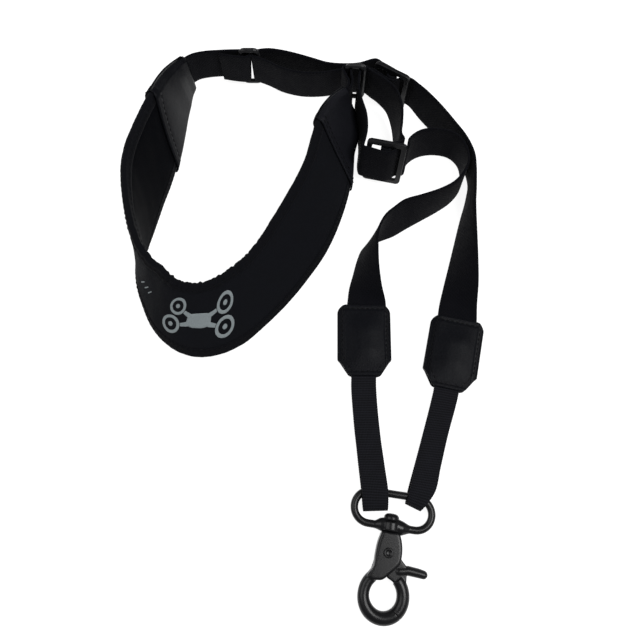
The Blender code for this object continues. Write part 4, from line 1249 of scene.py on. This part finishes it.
# Turned shapes as (distance along the axis, radius).
HUB_PROFILE = ((-2.7, 4.3), (-2.5, 4.9), (-2.0, 5.25), (1.9, 5.25), (2.4, 4.9), (2.65, 4.3))
PIN_PROFILE = (
    (-5.4, 2.2), (5.25, 2.2), (5.3, 3.7), (5.6, 4.15), (6.4, 4.3), (7.6, 4.15), (8.5, 3.6), (9.1, 2.6),
    (9.35, 1.2),
)
RIVET_PROFILE = (
    (-4.3, 0.5), (-4.4, 1.3), (-4.95, 1.8), (-5.0, 2.3), (-4.7, 2.7), (-4.0, 2.75),
    (4.0, 2.75), (4.7, 2.7), (5.0, 2.3), (4.95, 1.8), (4.4, 1.3), (4.3, 0.5),
)
# Outlines in the hook's plane as (across, up from the eye's centre).
BLADE_OUTLINE = (
    (-4.3, 33.3), (-5.4, 30.8), (-6.5, 26.1), (-7.0, 19.9), (-7.4, 14.2), (-9.2, 11.2), (-10.2, 9.0),
    (-7.6, 7.4), (-4.4, 7.6), (-1.6, 8.2), (2.4, 12.0), (6.8, 17.0), (7.7, 21.9), (7.2, 27.5),
    (6.1, 31.2), (4.9, 33.3), (0.0, 33.4),
)
SLOT_OUTLINE = (
    (-4.9, 3.0), (12.0, 3.0), (12.0, 27.4), (4.0, 27.4), (0.0, 28.0), (-4.2, 25.6), (-4.9, 22.0),
)
GATE_OUTLINE = (
    (-3.6, 23.6), (-3.6, 21.6), (-2.2, 17.0), (-0.3, 13.0), (0.9, 9.6), (3.0, 8.5), (4.8, 7.4), (7.0, 6.2),
    (11.2, 6.4), (11.6, 9.0), (11.4, 12.6), (11.0, 16.4), (8.6, 19.0), (5.6, 22.6), (4.0, 25.2), (2.0, 26.4),
    (-1.0, 26.4), (-3.0, 25.2),
)
# The hub's flares along the ring's lower bar, as their lines and radii.
HUB_FLARES = (
    (((-2.5, 36.8, 0), (-6.0, 36.4, 0), (-8.4, OVAL_LOWER_V, 0)), (4.0, 3.5, 2.3)),
    (((2.5, 36.6, 0), (6.6, 35.9, 0), (10.2, OVAL_LOWER_V, 0)), (4.3, 3.9, 2.3)),
)
LEVER_LINE = ((7.0, 13.6, 0), (12.0, 14.6, 0), (17.6, 14.2, 0), (20.6, 13.8, 0))


def make_swivel_ring():
    """The oval ring cast in one with its hub, and the headed pin that turns in it."""
    radius = (OVAL_UPPER_V - OVAL_LOWER_V) / 2
    middle_v = OVAL_LOWER_V + radius
    straight = OVAL_HALF_WIDTH - radius
    outline = arc((straight, middle_v), radius, -90, 90, 30)
    outline += arc((-straight, middle_v), radius, 90, 270, 30)
    line = closed_line(outline, 0.8)
    middle = on_hook([(u + OVAL_SHIFT, v, 0) for u, v in line])
    ring = rod("swivel_ring_visual", middle, OVAL_ROD, METAL, closed=True, sides=28)
    hub = lathe("hub", HUB_PROFILE, (0, OVAL_LOWER_V + 0.3), "v")
    flares = [rod("flare", on_hook(line), radii, METAL, sides=24) for line, radii in HUB_FLARES]
    melt(ring, [hub, *flares], voxel=0.3, rounds=4)
    put(ring, "ring", ("swivel_ring",))
    pin = lathe("swivel_pin_visual", PIN_PROFILE, (0, HUB_BOTTOM_V), "v")
    put(pin, "hook", ("swivel_pin",))


def make_hook():
    """The hook's eye and blade in one casting, slotted for the gate, and the gate's rivet."""
    start, end, count = 100, 316.2, 70
    thick = 3.2 + 0.5 * ease((np.linspace(start, end, count) - 170) / 70)
    eye = rod("hook_body_visual", eye_arc(start, end, count), thick, METAL, sides=28, rounded_ends=False)
    blade = hook_plate("blade", outline_curve(BLADE_OUTLINE), BLADE_THICK, 1.6)
    melt(eye, [blade])
    slot = hook_plate("slot", SLOT_OUTLINE, SLOT_THICK, 0.05)
    carve(eye, slot)
    put(eye, "hook", ("hook_body",))
    rivet = lathe("gate_rivet_visual", RIVET_PROFILE, (0, PIVOT_V), "n")
    put(rivet, "hook", ("gate_rivet",))


def make_gate():
    """The gate's arc, root and thumb lever in one casting."""
    thick = np.linspace(3.4, 3.7, 34)
    gate = rod("hook_gate_visual", eye_arc(50, -44.2, 34), thick, METAL, sides=28, rounded_ends=False)
    root = hook_plate("root", outline_curve(GATE_OUTLINE), GATE_THICK, 0.8)
    lever = rod("lever", on_hook(LEVER_LINE), (2.7, 2.6, 2.5, 2.35), METAL, sides=24)
    melt(gate, [root, lever])
    put(gate, "gate", ("hook_gate",))
    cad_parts["gate_spring"].data.materials[0] = STEEL


# ---------------------------------------------------------------- floor, light and camera
WHITE = (1.0, 1.0, 1.0, 1.0)
FLOOR_SIZE = 6.0
FLOOR_DROP = 0.2 * MM
FLOOR_GREY = (0.3, 0.3, 0.3)
FLOOR_GLOW = 0.91
SKY_STRENGTH = 0.2
SENSOR_WIDTH = 36.0
# Each lamp's name, place and size in metres, and power in watts.
LAMPS = (
    ("key", (0.55, -0.1, 1.05), 0.6, 11.0),
    ("fill", (-0.75, 0.1, 0.9), 0.8, 5.0),
)


def make_stage():
    """A pale floor, two soft lamps and the camera."""
    bpy.ops.mesh.primitive_plane_add(size=FLOOR_SIZE, location=(0, 0, -FLOOR_DROP))
    floor = bpy.context.object
    floor.name = "floor"
    ground = Finish("floor", FLOOR_GREY, 0.9, specular=0.1)
    ground.out.inputs["Emission Color"].default_value = WHITE
    ground.out.inputs["Emission Strength"].default_value = FLOOR_GLOW
    floor.data.materials.append(ground.finish())
    world = bpy.data.worlds.new("studio")
    bpy.context.scene.world = world
    world.use_nodes = True
    sky = world.node_tree.nodes["Background"]
    sky.inputs["Color"].default_value = WHITE
    sky.inputs["Strength"].default_value = SKY_STRENGTH
    for name, place, size, power in LAMPS:
        lamp = bpy.data.lights.new(name, "AREA")
        lamp.size = size
        lamp.energy = power
        holder = bpy.data.objects.new(name, lamp)
        holder.location = place
        holder.rotation_euler = (-Vector(place)).to_track_quat("-Z", "Y").to_euler()
        bpy.context.scene.collection.objects.link(holder)
    camera = bpy.data.objects.new("camera", bpy.data.cameras.new("camera"))
    camera.data.sensor_width = SENSOR_WIDTH
    camera.data.lens = FOCAL
    camera.data.clip_start = 0.01
    camera.location = Vector(tuple(at((0.0, 0.0, CAMERA_HEIGHT))))
    camera.rotation_euler = (math.radians(CAMERA_TILT), 0.0, 0.0)
    bpy.context.scene.collection.objects.link(camera)
    bpy.context.scene.camera = camera
    bpy.context.scene.view_settings.view_transform = "Standard"


make_pad()
make_binding("outer_binding", 0, 0.1, 2)
make_binding("inner_binding", 1, 0.55, 7)
make_print()
make_caps()
make_tabs()
dress_plastic()
make_left_strap()
make_right_strap()
make_patches()
make_loops()
make_swivel_ring()
make_hook()
make_gate()
make_stage()
